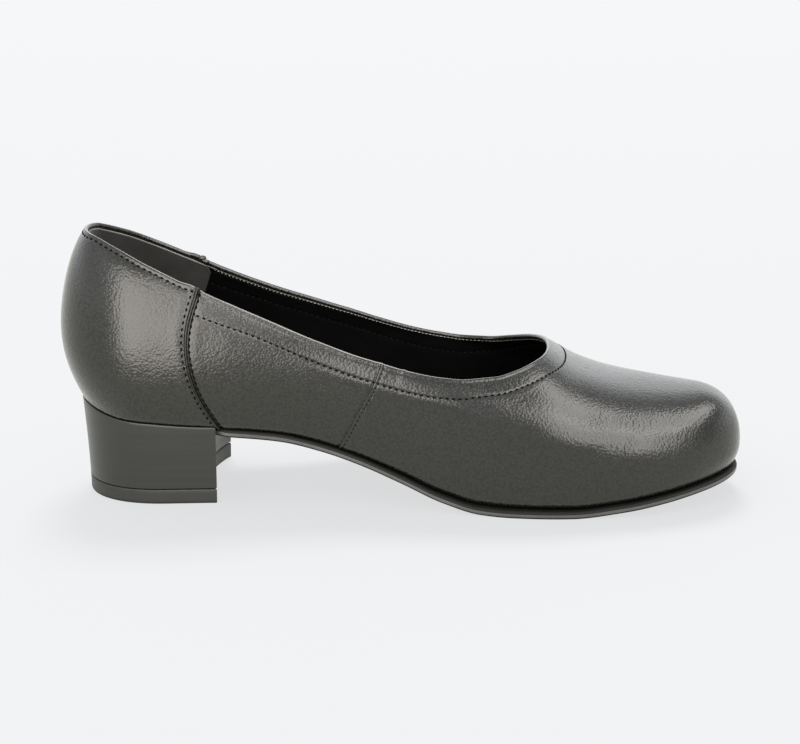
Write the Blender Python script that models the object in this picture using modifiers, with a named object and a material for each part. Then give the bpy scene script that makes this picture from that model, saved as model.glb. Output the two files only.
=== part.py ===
"""Wide fit court shoe with a low block heel, the left shoe: upper, insole, outsole, heel block, top piece.

The shoe points along +X, its inner (medial) side faces -Y and it stands on z = 0.
All named sizes are millimetres. Along is measured forward from the rearmost point of the upper.
"""
import bpy
import numpy as np

MM = 0.001

# Overall sizes
LENGTH = 252.0
GAP = 0.3

# Fineness of the working out: a small turn for directions, a least width, and two search counts
SMALL_TURN = 0.001
LEAST_WIDTH = 0.0003
ROLL_ROUNDS = 4
SEARCH_STEPS = 400

# Upper
WALL = 1.8
ROLL = 3.2
LASTING = 7.0
THROAT_AIM = 152.0
HEEL_AIM = 38.0
LINES = 112
WALL_STEPS = 5
ROLL_STEPS = 3
TOP_STEPS = 8

# Rounding of the ends of the plan and of the crest line: length of the rounding and its power
HEEL_ROUND = 34.0
HEEL_POWER = 2.1
MEDIAL_TOE_ROUND = 47.0
LATERAL_TOE_ROUND = 46.0
TOE_POWER = 2.0
CREST_HEEL_ROUND = 14.0
CREST_HEEL_POWER = 1.8
CREST_TOE_ROUND = 17.0
CREST_TOE_POWER = 2.4

# Outsole
SOLE_THICK = 2.8
SOLE_STATIONS = 60
SOLE_REAR_POINTS = 6
SOLE_REAR_GAP = 0.45
SOLE_SIDE_START = 60.8
SOLE_EDGE_ROUND = 0.5

# Insole
INSOLE_THICK = 2.5
INSOLE_INSET = 3.3
INSOLE_STATIONS = 56

# Heel block and top piece
BREAST = 58.0
BREAST_HOLLOW = 6.0
BREAST_SKEW = 2.4
TOP_PIECE_THICK = 5.6
HEEL_LOFT_TOP = 41.0
HEEL_REAR_FOOT = 9.5
HEEL_SEAT = 33.5
HEEL_REAR_LEAN = 2.0
HEEL_LEAN_POWER = 1.5
HEEL_HALF_FOOT = 25.8
HEEL_HALF_LEAN = 2.2
HEEL_BACK_ROUND = 30.0
HEEL_BACK_POWER = 2.2
HEEL_SIDE_POINTS = 14
HEEL_BREAST_POINTS = 5
HEEL_LEVELS = 6

# Cross sections of the upper, from the heel to the toe. Swing is the sideways place of the crest,
# medial and lateral the half widths from it at the widest level, fullness the squareness of the
# section above that level and lean how far the wall runs in below it.
SECTION_NAMES = ("along", "swing", "medial", "lateral", "widest", "crest", "fullness", "lean")
SECTIONS = (
    (0.0, -1.5, 31.0, 31.0, 63.0, 102.0, 2.03, 7.6),
    (30.0, 0.5, 32.0, 32.0, 51.0, 100.5, 2.21, 3.4),
    (60.0, 2.0, 31.0, 31.5, 49.0, 93.5, 2.20, 3.0),
    (95.0, 3.0, 30.0, 32.5, 50.0, 80.5, 2.00, 2.6),
    (130.0, 2.5, 36.0, 40.0, 44.5, 67.5, 1.76, 2.4),
    (160.0, 1.0, 41.0, 47.5, 37.5, 60.5, 1.62, 2.2),
    (181.0, -1.2, 41.0, 47.5, 29.0, 53.0, 1.95, 2.0),
    (190.0, -2.3, 39.6, 46.4, 26.0, 47.4, 2.10, 1.95),
    (200.0, -3.5, 37.5, 44.5, 23.5, 43.3, 2.25, 1.9),
    (225.0, -5.5, 33.0, 39.5, 20.0, 39.4, 2.45, 1.8),
    (252.0, -7.0, 30.5, 35.0, 19.0, 38.8, 2.50, 1.6),
)

# Underside of the lasted upper, level under the ball
UNDER_LINE = (
    (0.0, 35.6), (8.0, 34.9), (14.0, 33.9), (22.0, 32.8), (33.0, 31.9), (44.0, 30.8), (62.0, 29.0),
    (81.0, 26.9), (96.0, 23.4), (111.0, 18.8), (126.0, 13.1), (141.0, 7.0), (155.0, 3.6), (166.0, 3.1),
    (188.0, 3.1), (208.0, 5.0), (223.0, 7.1), (236.0, 9.2), (252.0, 11.6),
)

# Side view of the collar, rising out of the vamp in front of the throat
COLLAR_LINE = (
    (0.0, 100.4), (11.0, 99.3), (22.0, 95.2), (33.0, 89.8), (52.0, 80.6), (75.0, 70.5), (90.0, 64.5),
    (105.0, 59.0), (117.0, 55.0), (130.0, 51.1), (140.0, 49.0), (150.0, 47.8), (160.0, 48.0), (168.0, 49.6),
    (174.0, 51.4), (181.0, 53.8), (190.0, 62.5), (252.0, 140.0),
)

# How far the collar drops towards the lateral side for each millimetre across
TILT_LINE = (
    (0.0, 0.05), (60.0, 0.05), (75.0, 0.04), (95.0, 0.013), (105.0, 0.013), (117.0, 0.034), (140.0, 0.071),
    (160.0, 0.098), (174.0, 0.105), (190.0, 0.09), (252.0, 0.04),
)

# How far the outsole's edge stands in from the widest line of the upper
SOLE_INSET = ((50.0, 4.6), (85.0, 3.2), (130.0, 1.4), (165.0, 0.8), (252.0, 0.8))

# Colour and roughness of each piece
SURFACE_NAMES = ("piece", "red", "green", "blue", "roughness")
SURFACES = (
    ("upper", 0.030, 0.030, 0.028, 0.45),
    ("insole", 0.020, 0.020, 0.020, 0.70),
    ("outsole", 0.020, 0.020, 0.020, 0.60),
    ("heel_block", 0.035, 0.035, 0.030, 0.40),
    ("top_piece", 0.030, 0.030, 0.027, 0.70),
)


def natural_spline(knots, values):
    """A smooth curve through the values, straight at both ends."""
    knots = np.asarray(knots, float)
    values = np.asarray(values, float)
    count = len(knots)
    step = np.diff(knots)
    matrix = np.eye(count)
    right = np.zeros(count)
    for i in range(1, count - 1):
        matrix[i, i - 1:i + 2] = step[i - 1], 2 * (step[i - 1] + step[i]), step[i]
        rise = (values[i + 1] - values[i]) / step[i] - (values[i] - values[i - 1]) / step[i - 1]
        right[i] = 6 * rise
    bend = np.linalg.solve(matrix, right)

    def curve(place):
        place = np.clip(place, knots[0], knots[-1])
        i = np.clip(np.searchsorted(knots, place) - 1, 0, count - 2)
        before = (place - knots[i]) / step[i]
        after = 1 - before
        line = after * values[i] + before * values[i + 1]
        sag = (after ** 3 - after) * bend[i] + (before ** 3 - before) * bend[i + 1]
        return line + sag * step[i] ** 2 / 6

    return curve


def steady_spline(rows):
    """A smooth curve through the rows that never overshoots, so that level stretches stay level."""
    knots, values = np.array(rows).T
    step = np.diff(knots)
    slope = np.diff(values) / step
    tangent = np.zeros(len(knots))
    tangent[0] = slope[0]
    tangent[-1] = slope[-1]
    for i in range(1, len(knots) - 1):
        if slope[i - 1] * slope[i] > 0:
            tangent[i] = 2 * slope[i - 1] * slope[i] / (slope[i - 1] + slope[i])

    def curve(place):
        place = np.clip(place, knots[0], knots[-1])
        i = np.clip(np.searchsorted(knots, place) - 1, 0, len(knots) - 2)
        share = (place - knots[i]) / step[i]
        keep = (1 + 2 * share) * (1 - share) ** 2 * values[i] + share ** 2 * (3 - 2 * share) * values[i + 1]
        turn = share * (1 - share) ** 2 * tangent[i] - share ** 2 * (1 - share) * tangent[i + 1]
        return keep + turn * step[i]

    return curve


COLUMNS = dict(zip(SECTION_NAMES, np.array(SECTIONS).T))
SECTION = {name: natural_spline(COLUMNS["along"], COLUMNS[name]) for name in SECTION_NAMES[1:]}
under = steady_spline(UNDER_LINE)
collar_height = steady_spline(COLLAR_LINE)
sole_inset = steady_spline(SOLE_INSET)
collar_tilt = steady_spline(TILT_LINE)


def end_round(distance, length, power):
    """Falls from one to nought over the last stretch of a given length before an end."""
    share = np.clip(1 - distance / length, 0, 1)
    return (1 - share ** power) ** (1 / power)


def side_width(along, side):
    """Half width at the widest level on the medial (-1) or lateral (+1) side."""
    heel = end_round(along, HEEL_ROUND, HEEL_POWER)
    toe_length = np.where(np.asarray(side) < 0, MEDIAL_TOE_ROUND, LATERAL_TOE_ROUND)
    toe = end_round(LENGTH - along, toe_length, TOE_POWER)
    width = np.where(np.asarray(side) < 0, SECTION["medial"](along), SECTION["lateral"](along))
    return width * heel * toe


def top_height(along, across):
    """Height of the upper's outer form above its widest level."""
    off = across - SECTION["swing"](along)
    width = side_width(along, np.sign(off))
    share = np.clip(np.abs(off) / np.maximum(width, LEAST_WIDTH), 0, 1)
    heel = end_round(along, CREST_HEEL_ROUND, CREST_HEEL_POWER)
    toe = end_round(LENGTH - along, CREST_TOE_ROUND, CREST_TOE_POWER)
    widest = SECTION["widest"](along)
    rise = (SECTION["crest"](along) - widest) * heel * toe
    power = SECTION["fullness"](along)
    return widest + rise * (1 - share ** power) ** (1 / power)


def outline(count):
    """Plan of the widest level and its outward directions, from the heel round the medial side."""
    turn = np.arange(count) * 2 * np.pi / count
    fine = np.array([turn - SMALL_TURN, turn, turn + SMALL_TURN])
    along = LENGTH * (1 - np.cos(fine)) / 2
    side = np.where(np.sin(fine) >= 0, -1.0, 1.0)
    across = SECTION["swing"](along) + side * side_width(along, side)
    plan = np.stack([along, across], axis=-1)
    run = plan[2] - plan[0]
    out = np.stack([run[:, 1], -run[:, 0]], axis=-1)
    out /= np.linalg.norm(out, axis=1, keepdims=True)
    return plan[1], out


def aim_points(plan):
    """Points in the opening that the lines of the upper run towards."""
    along = np.clip(plan[:, 0], HEEL_AIM, THROAT_AIM)
    return np.stack([along, SECTION["swing"](along)], axis=-1)


def lower_profile(plan, out, wide):
    """Rings from the widest level down the wall, round the roll and in along the lasting margin."""
    along = plan[:, 0]
    lean = SECTION["lean"](along)
    top = SECTION["widest"](along)
    angle = np.zeros(len(along))
    for _ in range(ROLL_ROUNDS):
        drop = top - under(along) - ROLL * (1 - np.sin(angle))
        angle = np.arctan(2 * lean / drop)
    rings = []
    for share in np.arange(1, WALL_STEPS + 1) / WALL_STEPS:
        rings.append((lean * share ** 2, top - drop * share, share))
    for share in np.arange(1, ROLL_STEPS + 1) / ROLL_STEPS:
        bend = angle + (np.pi / 2 - angle) * share
        inset = lean + ROLL * (np.cos(angle) - np.cos(bend))
        rings.append((inset, top - drop - ROLL * (np.sin(bend) - np.sin(angle)), 1.0))
    rings.append((lean + ROLL * np.cos(angle) + LASTING, under(along), 1.0))
    points = []
    for inset, height, blend in rings:
        place = plan - out * (inset - wide)[:, None]
        height = height + (under(place[:, 0]) - under(along)) * blend
        points.append(np.column_stack([place, height]))
    return points


def upper_profile(plan):
    """Rings from the widest level over the top to the collar."""
    aim = aim_points(plan)
    shares = 1 - np.cos(np.linspace(0, np.pi / 2, SEARCH_STEPS))
    path = plan[None] + (aim - plan)[None] * shares[:, None, None]
    tilt = collar_tilt(path[..., 0]) * (path[..., 1] - SECTION["swing"](path[..., 0]))
    above = top_height(path[..., 0], path[..., 1]) - collar_height(path[..., 0]) + tilt
    first = np.argmax(above > 0, axis=0)
    pick = np.arange(len(plan))
    low = above[first - 1, pick]
    part = -low / (above[first, pick] - low)
    turn = (first - 1 + part) * (np.pi / 2) / (len(shares) - 1)
    points = []
    for share in np.arange(TOP_STEPS + 1) / TOP_STEPS:
        reach = 1 - np.cos(turn * share)
        place = plan + (aim - plan) * reach[:, None]
        points.append(np.column_stack([place, top_height(place[:, 0], place[:, 1])]))
    return points


def centre():
    """Middle of the shoe's plan, which becomes the origin."""
    plan, _ = outline(LINES)
    return (plan.min(axis=0) + plan.max(axis=0)) / 2


CENTRE = np.append(centre(), 0.0)


def add_object(name, points, faces, collection, material=None):
    """A named object in a collection, from points in the shoe's own millimetres."""
    mesh = bpy.data.meshes.new(name)
    mesh.from_pydata(((np.asarray(points) - CENTRE) * MM).tolist(), [], faces)
    mesh.validate()
    item = bpy.data.objects.new(name, mesh)
    collection.objects.link(item)
    if material:
        mesh.materials.append(material)
    return item


def add_material(surface):
    """The material of one row of the surfaces table."""
    material = bpy.data.materials.new(surface["piece"] + "_surface")
    material.use_nodes = True
    shader = material.node_tree.nodes["Principled BSDF"]
    shader.inputs["Base Color"].default_value = (surface["red"], surface["green"], surface["blue"], 1)
    shader.inputs["Roughness"].default_value = surface["roughness"]
    shader.inputs["Metallic"].default_value = 0.0
    return material


def ring_faces(rings, count):
    """Faces between rings that follow one another, each ring closed on itself."""
    faces = []
    for ring in range(rings - 1):
        for i in range(count):
            after = (i + 1) % count
            low = ring * count
            faces.append((low + i, low + after, low + count + after, low + count + i))
    return faces


def cap_faces(start, count, flip):
    """A ladder of faces across a ring whose points mirror each other about its first point."""
    faces = [(start, start + 1, start + count - 1)]
    for i in range(1, count // 2 - 1):
        faces.append((start + i, start + i + 1, start + count - i - 1, start + count - i))
    half = count // 2
    faces.append((start + half - 1, start + half, start + half + 1))
    return [face[::-1] if flip else face for face in faces]


def build_upper(collection, material):
    """The hollow upper: rings from the lasting margin to the collar, with a wall."""
    plan, out = outline(LINES)
    rings = lower_profile(plan, out, np.zeros(LINES))[::-1] + upper_profile(plan)
    item = add_object("upper", np.concatenate(rings), ring_faces(len(rings), LINES), collection, material)
    shell = item.modifiers.new("wall", 'SOLIDIFY')
    shell.thickness = WALL * MM
    shell.offset = -1.0
    shell.use_even_offset = True
    return item


def build_seat_form(collection):
    """The underside of the upper as a solid, grown by the gap, that hollows the heel block's seat."""
    plan, out = outline(LINES)
    rings = lower_profile(plan, out, np.full(LINES, GAP))[:-1][::-1]
    rings = [ring - np.array([0, 0, GAP]) for ring in rings]
    faces = ring_faces(len(rings), LINES)
    faces += cap_faces(0, LINES, True)
    faces += cap_faces((len(rings) - 1) * LINES, LINES, False)
    return add_object("seat_form", np.concatenate(rings), faces, collection)


def plate(name, edge, level, thickness, collection, material):
    """A plate between a closed edge at a level for each point and the same edge further down."""
    count = len(edge)
    low = np.column_stack([edge, level - thickness])
    top = np.column_stack([edge, level])
    faces = ring_faces(2, count)
    faces += cap_faces(0, count, True)
    faces += cap_faces(count, count, False)
    return add_object(name, np.concatenate([low, top]), faces, collection, material)


def build_insole(collection, material):
    """The insole, lying on the lasting margin inside the upper."""
    plan, out = outline(2 * INSOLE_STATIONS)
    inset = SECTION["lean"](plan[:, 0]) + INSOLE_INSET
    edge = plan - out * inset[:, None]
    level = under(edge[:, 0]) + WALL + GAP + INSOLE_THICK
    return plate("insole", edge, level, INSOLE_THICK, collection, material)


def breast_line(across, level):
    """Where the hollow breast of the heel stands: square across but for a small skew."""
    off = (across - SECTION["swing"](BREAST)) / heel_half(level)
    hollow = BREAST_HOLLOW * (1 - np.clip(np.abs(off), 0, 1) ** 2)
    return BREAST + BREAST_SKEW * (1 + off) / 2 - hollow


def build_outsole(collection, material):
    """The outsole, from the breast of the heel to the toe, following the underside."""
    plan, out = outline(2 * SOLE_STATIONS)
    edge = plan - out * sole_inset(plan[:, 0])[:, None]
    half = len(edge) // 2
    first = int(np.argmax(edge[:half, 0] > SOLE_SIDE_START))
    edge = edge[first:len(edge) - first + 1]
    across = np.linspace(edge[-1, 1], edge[0, 1], 2 * SOLE_REAR_POINTS + 1)
    rear = np.column_stack([breast_line(across, HEEL_SEAT) + SOLE_REAR_GAP, across])
    edge = np.concatenate([rear[SOLE_REAR_POINTS:], edge, rear[:SOLE_REAR_POINTS]])
    item = plate("outsole", edge, under(edge[:, 0]) - GAP, SOLE_THICK, collection, material)
    rounding = item.modifiers.new("edge_round", 'BEVEL')
    rounding.width = SOLE_EDGE_ROUND * MM
    rounding.segments = 1
    return item


def heel_half(level):
    """Half width of the heel at a height."""
    return HEEL_HALF_FOOT + HEEL_HALF_LEAN * level / HEEL_SEAT


def heel_outline(level):
    """Plan of the heel at a height: from the rear along the medial side, the hollow breast and back."""
    rear = HEEL_REAR_FOOT - HEEL_REAR_LEAN * (level / HEEL_SEAT) ** HEEL_LEAN_POWER
    turn = np.linspace(0, np.pi / 2, HEEL_SIDE_POINTS + 1)
    along = rear + (BREAST - rear) * (1 - np.cos(turn))
    width = heel_half(level) * end_round(along - rear, HEEL_BACK_ROUND, HEEL_BACK_POWER)
    middle = SECTION["swing"](along)
    medial = np.column_stack([along, middle - width])
    stretch = along + BREAST_SKEW * (along - rear) / (BREAST - rear)
    lateral = np.column_stack([stretch, middle + width])
    across = np.linspace(medial[-1, 1], lateral[-1, 1], 2 * HEEL_BREAST_POINTS + 1)[1:-1]
    breast = np.column_stack([breast_line(across, level), across])
    plan = np.concatenate([medial, breast, lateral[:0:-1]])
    return np.column_stack([plan, np.full(len(plan), level)])


def heel_loft(name, levels, collection, material):
    """A solid through the heel's plan at each level."""
    rings = [heel_outline(level) for level in levels]
    count = len(rings[0])
    faces = ring_faces(len(rings), count)
    last = (len(rings) - 1) * count
    faces.append(tuple(range(count))[::-1])
    faces.append(tuple(range(last, last + count)))
    return add_object(name, np.concatenate(rings), faces, collection, material)


def build_heel(collection, cutters, material):
    """The heel block, hollowed at the top to seat the upper."""
    levels = np.linspace(TOP_PIECE_THICK + GAP, HEEL_LOFT_TOP, HEEL_LEVELS)
    item = heel_loft("heel_block", levels, collection, material)
    seat = item.modifiers.new("seat", 'BOOLEAN')
    seat.operation = 'DIFFERENCE'
    seat.solver = 'EXACT'
    seat.object = build_seat_form(cutters)
    return item


def build_top_piece(collection, material):
    """The rubber top piece under the heel block."""
    return heel_loft("top_piece", (0.0, TOP_PIECE_THICK), collection, material)


def main():
    """Clears the scene and builds the shoe's pieces under one base."""
    for item in list(bpy.data.objects):
        bpy.data.objects.remove(item)
    shoe = bpy.data.collections.new("court_shoe")
    cutters = bpy.data.collections.new("cutters")
    bpy.context.scene.collection.children.link(shoe)
    bpy.context.scene.collection.children.link(cutters)
    materials = {}
    for row in SURFACES:
        surface = dict(zip(SURFACE_NAMES, row))
        materials[surface["piece"]] = add_material(surface)
    pieces = [
        build_upper(shoe, materials["upper"]),
        build_insole(shoe, materials["insole"]),
        build_outsole(shoe, materials["outsole"]),
        build_heel(shoe, cutters, materials["heel_block"]),
        build_top_piece(shoe, materials["top_piece"]),
    ]
    base = bpy.data.objects.new("court_shoe_base", None)
    shoe.objects.link(base)
    for piece in pieces:
        piece.parent = base
    for cutter in cutters.objects:
        cutter.hide_render = True
        cutter.display_type = 'WIRE'


main()
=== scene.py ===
"""Looks of a wide fit court shoe for the left foot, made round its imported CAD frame.

Sizes are millimetres in the shoe's own frame: along runs forward from the back of the upper, across runs
to the outer side and height stands on the floor. Finished meshes are metres in the row frame.
"""
import math
from functools import lru_cache

import bpy
import numpy as np
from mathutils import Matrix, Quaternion, Vector


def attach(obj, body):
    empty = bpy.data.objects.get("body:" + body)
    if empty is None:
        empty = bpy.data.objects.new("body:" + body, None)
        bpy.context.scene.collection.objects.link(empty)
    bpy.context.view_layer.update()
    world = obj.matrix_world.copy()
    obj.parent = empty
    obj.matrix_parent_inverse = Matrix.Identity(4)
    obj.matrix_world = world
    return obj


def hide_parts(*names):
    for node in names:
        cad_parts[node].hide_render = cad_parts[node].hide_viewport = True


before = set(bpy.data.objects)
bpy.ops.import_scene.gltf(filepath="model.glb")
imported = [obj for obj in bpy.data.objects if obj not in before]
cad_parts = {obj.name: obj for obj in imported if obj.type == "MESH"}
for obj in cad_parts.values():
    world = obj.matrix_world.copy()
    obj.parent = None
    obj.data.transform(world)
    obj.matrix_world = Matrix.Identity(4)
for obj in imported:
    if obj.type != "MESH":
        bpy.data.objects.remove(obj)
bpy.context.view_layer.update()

bl_info = {
    "name": "Court shoe looks",
    "version": (1, 0, 0),
    "blender": (4, 5, 0),
    "location": "3D View > Sidebar > Court shoe",
    "description": "Leather, linings, seams, sole and heel of a court shoe round its CAD frame",
    "category": "Object",
}

MM = 0.001

# Overall sizes of the outer form, as in the CAD
LENGTH = 252.0
NOMINAL_WALL = LENGTH / 4
GAP = 0.3
WALL = 1.8
ROLL = 3.2
LASTING = 7.0
THROAT_AIM = 152.0
HEEL_AIM = 38.0
HEEL_ROUND = 34.0
HEEL_POWER = 2.1
MEDIAL_TOE_ROUND = 47.0
LATERAL_TOE_ROUND = 46.0
TOE_POWER = 2.0
CREST_HEEL_ROUND = 14.0
CREST_HEEL_POWER = 1.8
CREST_TOE_ROUND = 17.0
CREST_TOE_POWER = 2.4

# Outsole, insole, heel block and top piece, as in the CAD
SOLE_SIDE_START = 60.8
SOLE_REAR_GAP = 0.45
INSOLE_THICK = 2.5
INSOLE_INSET = 3.3
BREAST = 58.0
BREAST_HOLLOW = 6.0
BREAST_SKEW = 2.4
TOP_PIECE_THICK = 5.6
HEEL_REAR_FOOT = 9.5
HEEL_SEAT = 33.5
HEEL_REAR_LEAN = 2.0
HEEL_LEAN_POWER = 1.5
HEEL_HALF_FOOT = 25.8
HEEL_HALF_LEAN = 2.2
HEEL_BACK_ROUND = 30.0
HEEL_BACK_POWER = 2.2

# Cross sections of the outer form, as in the CAD
SECTION_NAMES = ("along", "swing", "medial", "lateral", "widest", "crest", "fullness", "lean")
SECTIONS = (
    (0.0, -1.5, 31.0, 31.0, 63.0, 102.0, 2.03, 7.6),
    (30.0, 0.5, 32.0, 32.0, 51.0, 100.5, 2.21, 3.4),
    (60.0, 2.0, 31.0, 31.5, 49.0, 93.5, 2.20, 3.0),
    (95.0, 3.0, 30.0, 32.5, 50.0, 80.5, 2.00, 2.6),
    (130.0, 2.5, 36.0, 40.0, 44.5, 67.5, 1.76, 2.4),
    (160.0, 1.0, 41.0, 47.5, 37.5, 60.5, 1.62, 2.2),
    (181.0, -1.2, 41.0, 47.5, 29.0, 53.0, 1.95, 2.0),
    (190.0, -2.3, 39.6, 46.4, 26.0, 47.4, 2.10, 1.95),
    (200.0, -3.5, 37.5, 44.5, 23.5, 43.3, 2.25, 1.9),
    (225.0, -5.5, 33.0, 39.5, 20.0, 39.4, 2.45, 1.8),
    (252.0, -7.0, 30.5, 35.0, 19.0, 38.8, 2.50, 1.6),
)
UNDER_LINE = (
    (0.0, 35.6), (8.0, 34.9), (14.0, 33.9), (22.0, 32.8), (33.0, 31.9), (44.0, 30.8), (62.0, 29.0),
    (81.0, 26.9), (96.0, 23.4), (111.0, 18.8), (126.0, 13.1), (141.0, 7.0), (155.0, 3.6), (166.0, 3.1),
    (188.0, 3.1), (208.0, 5.0), (223.0, 7.1), (236.0, 9.2), (252.0, 11.6),
)
COLLAR_LINE = (
    (0.0, 100.4), (11.0, 99.3), (22.0, 95.2), (33.0, 89.8), (52.0, 80.6), (75.0, 70.5), (90.0, 64.5),
    (105.0, 59.0), (117.0, 55.0), (130.0, 51.1), (140.0, 49.0), (150.0, 47.8), (160.0, 48.0), (168.0, 49.6),
    (174.0, 51.4), (181.0, 53.8), (190.0, 62.5), (252.0, 140.0),
)
TILT_LINE = (
    (0.0, 0.05), (60.0, 0.05), (75.0, 0.04), (95.0, 0.013), (105.0, 0.013), (117.0, 0.034), (140.0, 0.071),
    (160.0, 0.098), (174.0, 0.105), (190.0, 0.09), (252.0, 0.04),
)
SOLE_INSET = ((50.0, 4.6), (85.0, 3.2), (130.0, 1.4), (165.0, 0.8), (252.0, 0.8))

# Fineness of the working out
SMALL_TURN = 0.001
LEAST_WIDTH = 0.0003
ROLL_ROUNDS = 4
SEARCH_STEPS = 400
FORM_LINES = 1600
TOP_STEPS = 200
WALL_STEPS = 80
ROLL_STEPS = 24

# Seams of the upper in side view: height and along
COUNTER_SEAM = ((28.0, 60.0), (42.0, 52.4), (55.0, 48.4), (69.0, 48.2), (83.0, 52.6))
SIDE_SEAM = ((18.0, 100.6), (30.0, 106.5), (37.0, 109.9), (47.0, 115.0), (57.0, 119.0))

# Rows of the upper: distances below the collar near it, then a count of even rows to the margin
RIM_ROUND = 0.9
STITCH_IN = 2.0
SEAM_STITCH = 1.6
BAND = 8.0
BAND_DROP = 1.5
BAND_DROP_RUN = 25.0
COLLAR_ROWS = (0.9, 1.15, 1.4, 1.6, 1.8, 2.0, 2.25, 2.6, 3.2, 3.9, 4.7, 5.5, 6.2, 6.8, 7.2, 7.5, 7.75, 8.0,
               8.25, 8.5, 8.8, 9.2, 9.8, 10.6, 11.3, 12.0)
WALL_ROWS = 74
SEAM_COLUMNS = (0.0, 0.2, 0.4, 0.6, 0.8, 1.0, 1.2, 1.4, 1.6, 1.8, 2.0, 2.25, 2.6, 3.1, 3.8, 5.0)
COUNTER_COLUMNS = 76
QUARTER_COLUMNS = 52
VAMP_COLUMNS = 330

# Leather and lining layers below the outer form
LEATHER_THICK = 1.15
LINING_FRONT = 1.85
LINING_BACK = 1.35
LINING_TOP = 1.7
GRIP_FRONT = 2.4
GRIP_BACK = 1.9
GRIP_TOP = 1.35
GRIP_DEPTH = 44.0
GRIP_REACH = 4.5
GRIP_TOP_ROWS = (GRIP_TOP, 1.8, 2.6)
GRIP_ROWS = 26
GRIP_ROWS_START = 4.0
GRIP_COLUMNS = 181
GRIP_BOW = 7.0
GRIP_CORNER = 2.5
GRIP_CORNER_WIDTH = 1.6
LINING_ROWS = (LINING_TOP, 2.2, 3.0, 4.0, 5.5, 7.0, 7.6, 8.0, 8.4, 9.0, 10.5, 12.0)
LINING_WALL_ROWS = 30
LINING_COLUMNS = 360
LINING_SHORT = 4
LINING_GROOVE = 0.25
LINING_GROOVE_WIDTH = 0.4
EDGE_ROUND = 0.25
EDGE_STEPS = 6

# Fold of the collar and inner face of the leather, whose rows are picked from the outer ones
FOLD_DROPS = (2.6, 1.0)
FOLD_STEPS = 11
# The fold's steps between these two are painted light as the highlight line along the collar's top edge
FOLD_HIGHLIGHT = (6, 8)
MARGIN_ROWS = 25
MARGIN_STEP = 3
INNER_STEP = 9
INNER_FIRST = 9

# Sock on the insole
SOCK_END = 0.03
SOCK_ROWS = 150
SOCK_TOP_POINTS = 25
SOCK_LOW_POINTS = 7
SOCK_CROWN = 0.25
SOCK_EDGE_DROP = 0.7
SOCK_EDGE_START = 0.93

# Ridges (+) and valleys (-) along the seams, the band and the collar: place, half width and rise
COUNTER_RIDGES = (
    (0.0, 0.34, 0.75), (0.95, 0.4, -0.7), (-0.8, 0.36, -0.25), (-SEAM_STITCH, 0.4, -0.14),
    (SEAM_STITCH, 0.4, -0.12), (-4.0, 1.8, 0.12), (4.2, 1.6, 0.12),
)
SIDE_RIDGES = ((0.85, 0.4, 0.18), (-0.12, 0.28, -0.26), (SEAM_STITCH, 0.32, -0.24))
BAND_RIDGES = ((0.9, 0.5, 0.1), (1.8, 0.36, -0.16), (BAND + 2.0, 1.3, 0.08), (BAND, 0.45, -0.2))
EDGE_RIDGES = ((0.9, 0.6, 0.2), (STITCH_IN, 0.4, -0.16), (4.0, 1.4, 0.08))
RIM_LIFTS = ((8.9, 0.6, 0.22), (0.0, 1.0, 0.2))

# Where the relief starts and ends, as pairs of places between which it fades
BAND_FADE = (0.8, 2.2)
EDGE_FADE = (-1.2, -0.3)
BAND_SWELL = 0.06
BAND_SWELL_TOP = 2.2
BAND_SWELL_DEPTH = 5.6
LAP_RISE = 0.34
LAP_EDGE = 0.4
LAP_RUN = 6.0
JOIN_DEPTH = 0.15
JOIN_START = (0.6, 1.4)
JOIN_END = (7.4, 9.2)
JOIN_FOOT = (4.0, 8.0)
HUMP_RISE = 0.8
HUMP_START = (-8.0, -1.0)
HUMP_END = (0.0, 3.2)
HUMP_FOOT = (0.5, 4.0)
CREASE_FACING = (-0.1, 0.2)

# Uneven hide: depth, the run over which it begins below the band, and pairs of waves, each as its length
# along, its length in height and its start
HIDE_DEPTH = 0.045
HIDE_RUN = 6.0
HIDE_WAVES = (
    ((4.6, 7.0, 0.0), (-9.0, 5.2, 0.0)),
    ((7.9, -4.4, 1.0), (math.inf, 9.0, 2.0)),
)

# Soft troughs and ridges of the leather in side view, on the inner (-1) or outer (+1) side:
# two ends as along and height, half width and rise, which is negative for a trough
CREASE_NAMES = ("side", "along_1", "height_1", "along_2", "height_2", "width", "rise")
CREASES = (
    (-1, 190.0, 24.0, 207.0, 29.0, 3.4, -0.34),
    (-1, 205.0, 31.5, 222.0, 32.5, 3.6, -0.12),
    (-1, 199.0, 33.5, 210.0, 26.5, 3.0, 0.12),
    (-1, 132.0, 40.0, 150.0, 31.0, 2.6, -0.08),
    (-1, 142.0, 41.0, 161.0, 33.0, 2.4, -0.10),
    (-1, 154.0, 40.0, 170.0, 35.0, 2.4, -0.08),
    (-1, 70.0, 62.0, 98.0, 48.0, 5.0, -0.12),
    (-1, 30.0, 78.0, 36.0, 60.0, 5.0, -0.10),
    (1, 186.0, 24.0, 205.0, 29.0, 3.2, -0.28),
    (1, 140.0, 40.0, 160.0, 31.0, 2.6, -0.10),
    (1, 152.0, 41.0, 170.0, 34.0, 2.4, -0.10),
    (1, 74.0, 60.0, 100.0, 46.0, 5.0, -0.12),
)
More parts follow.
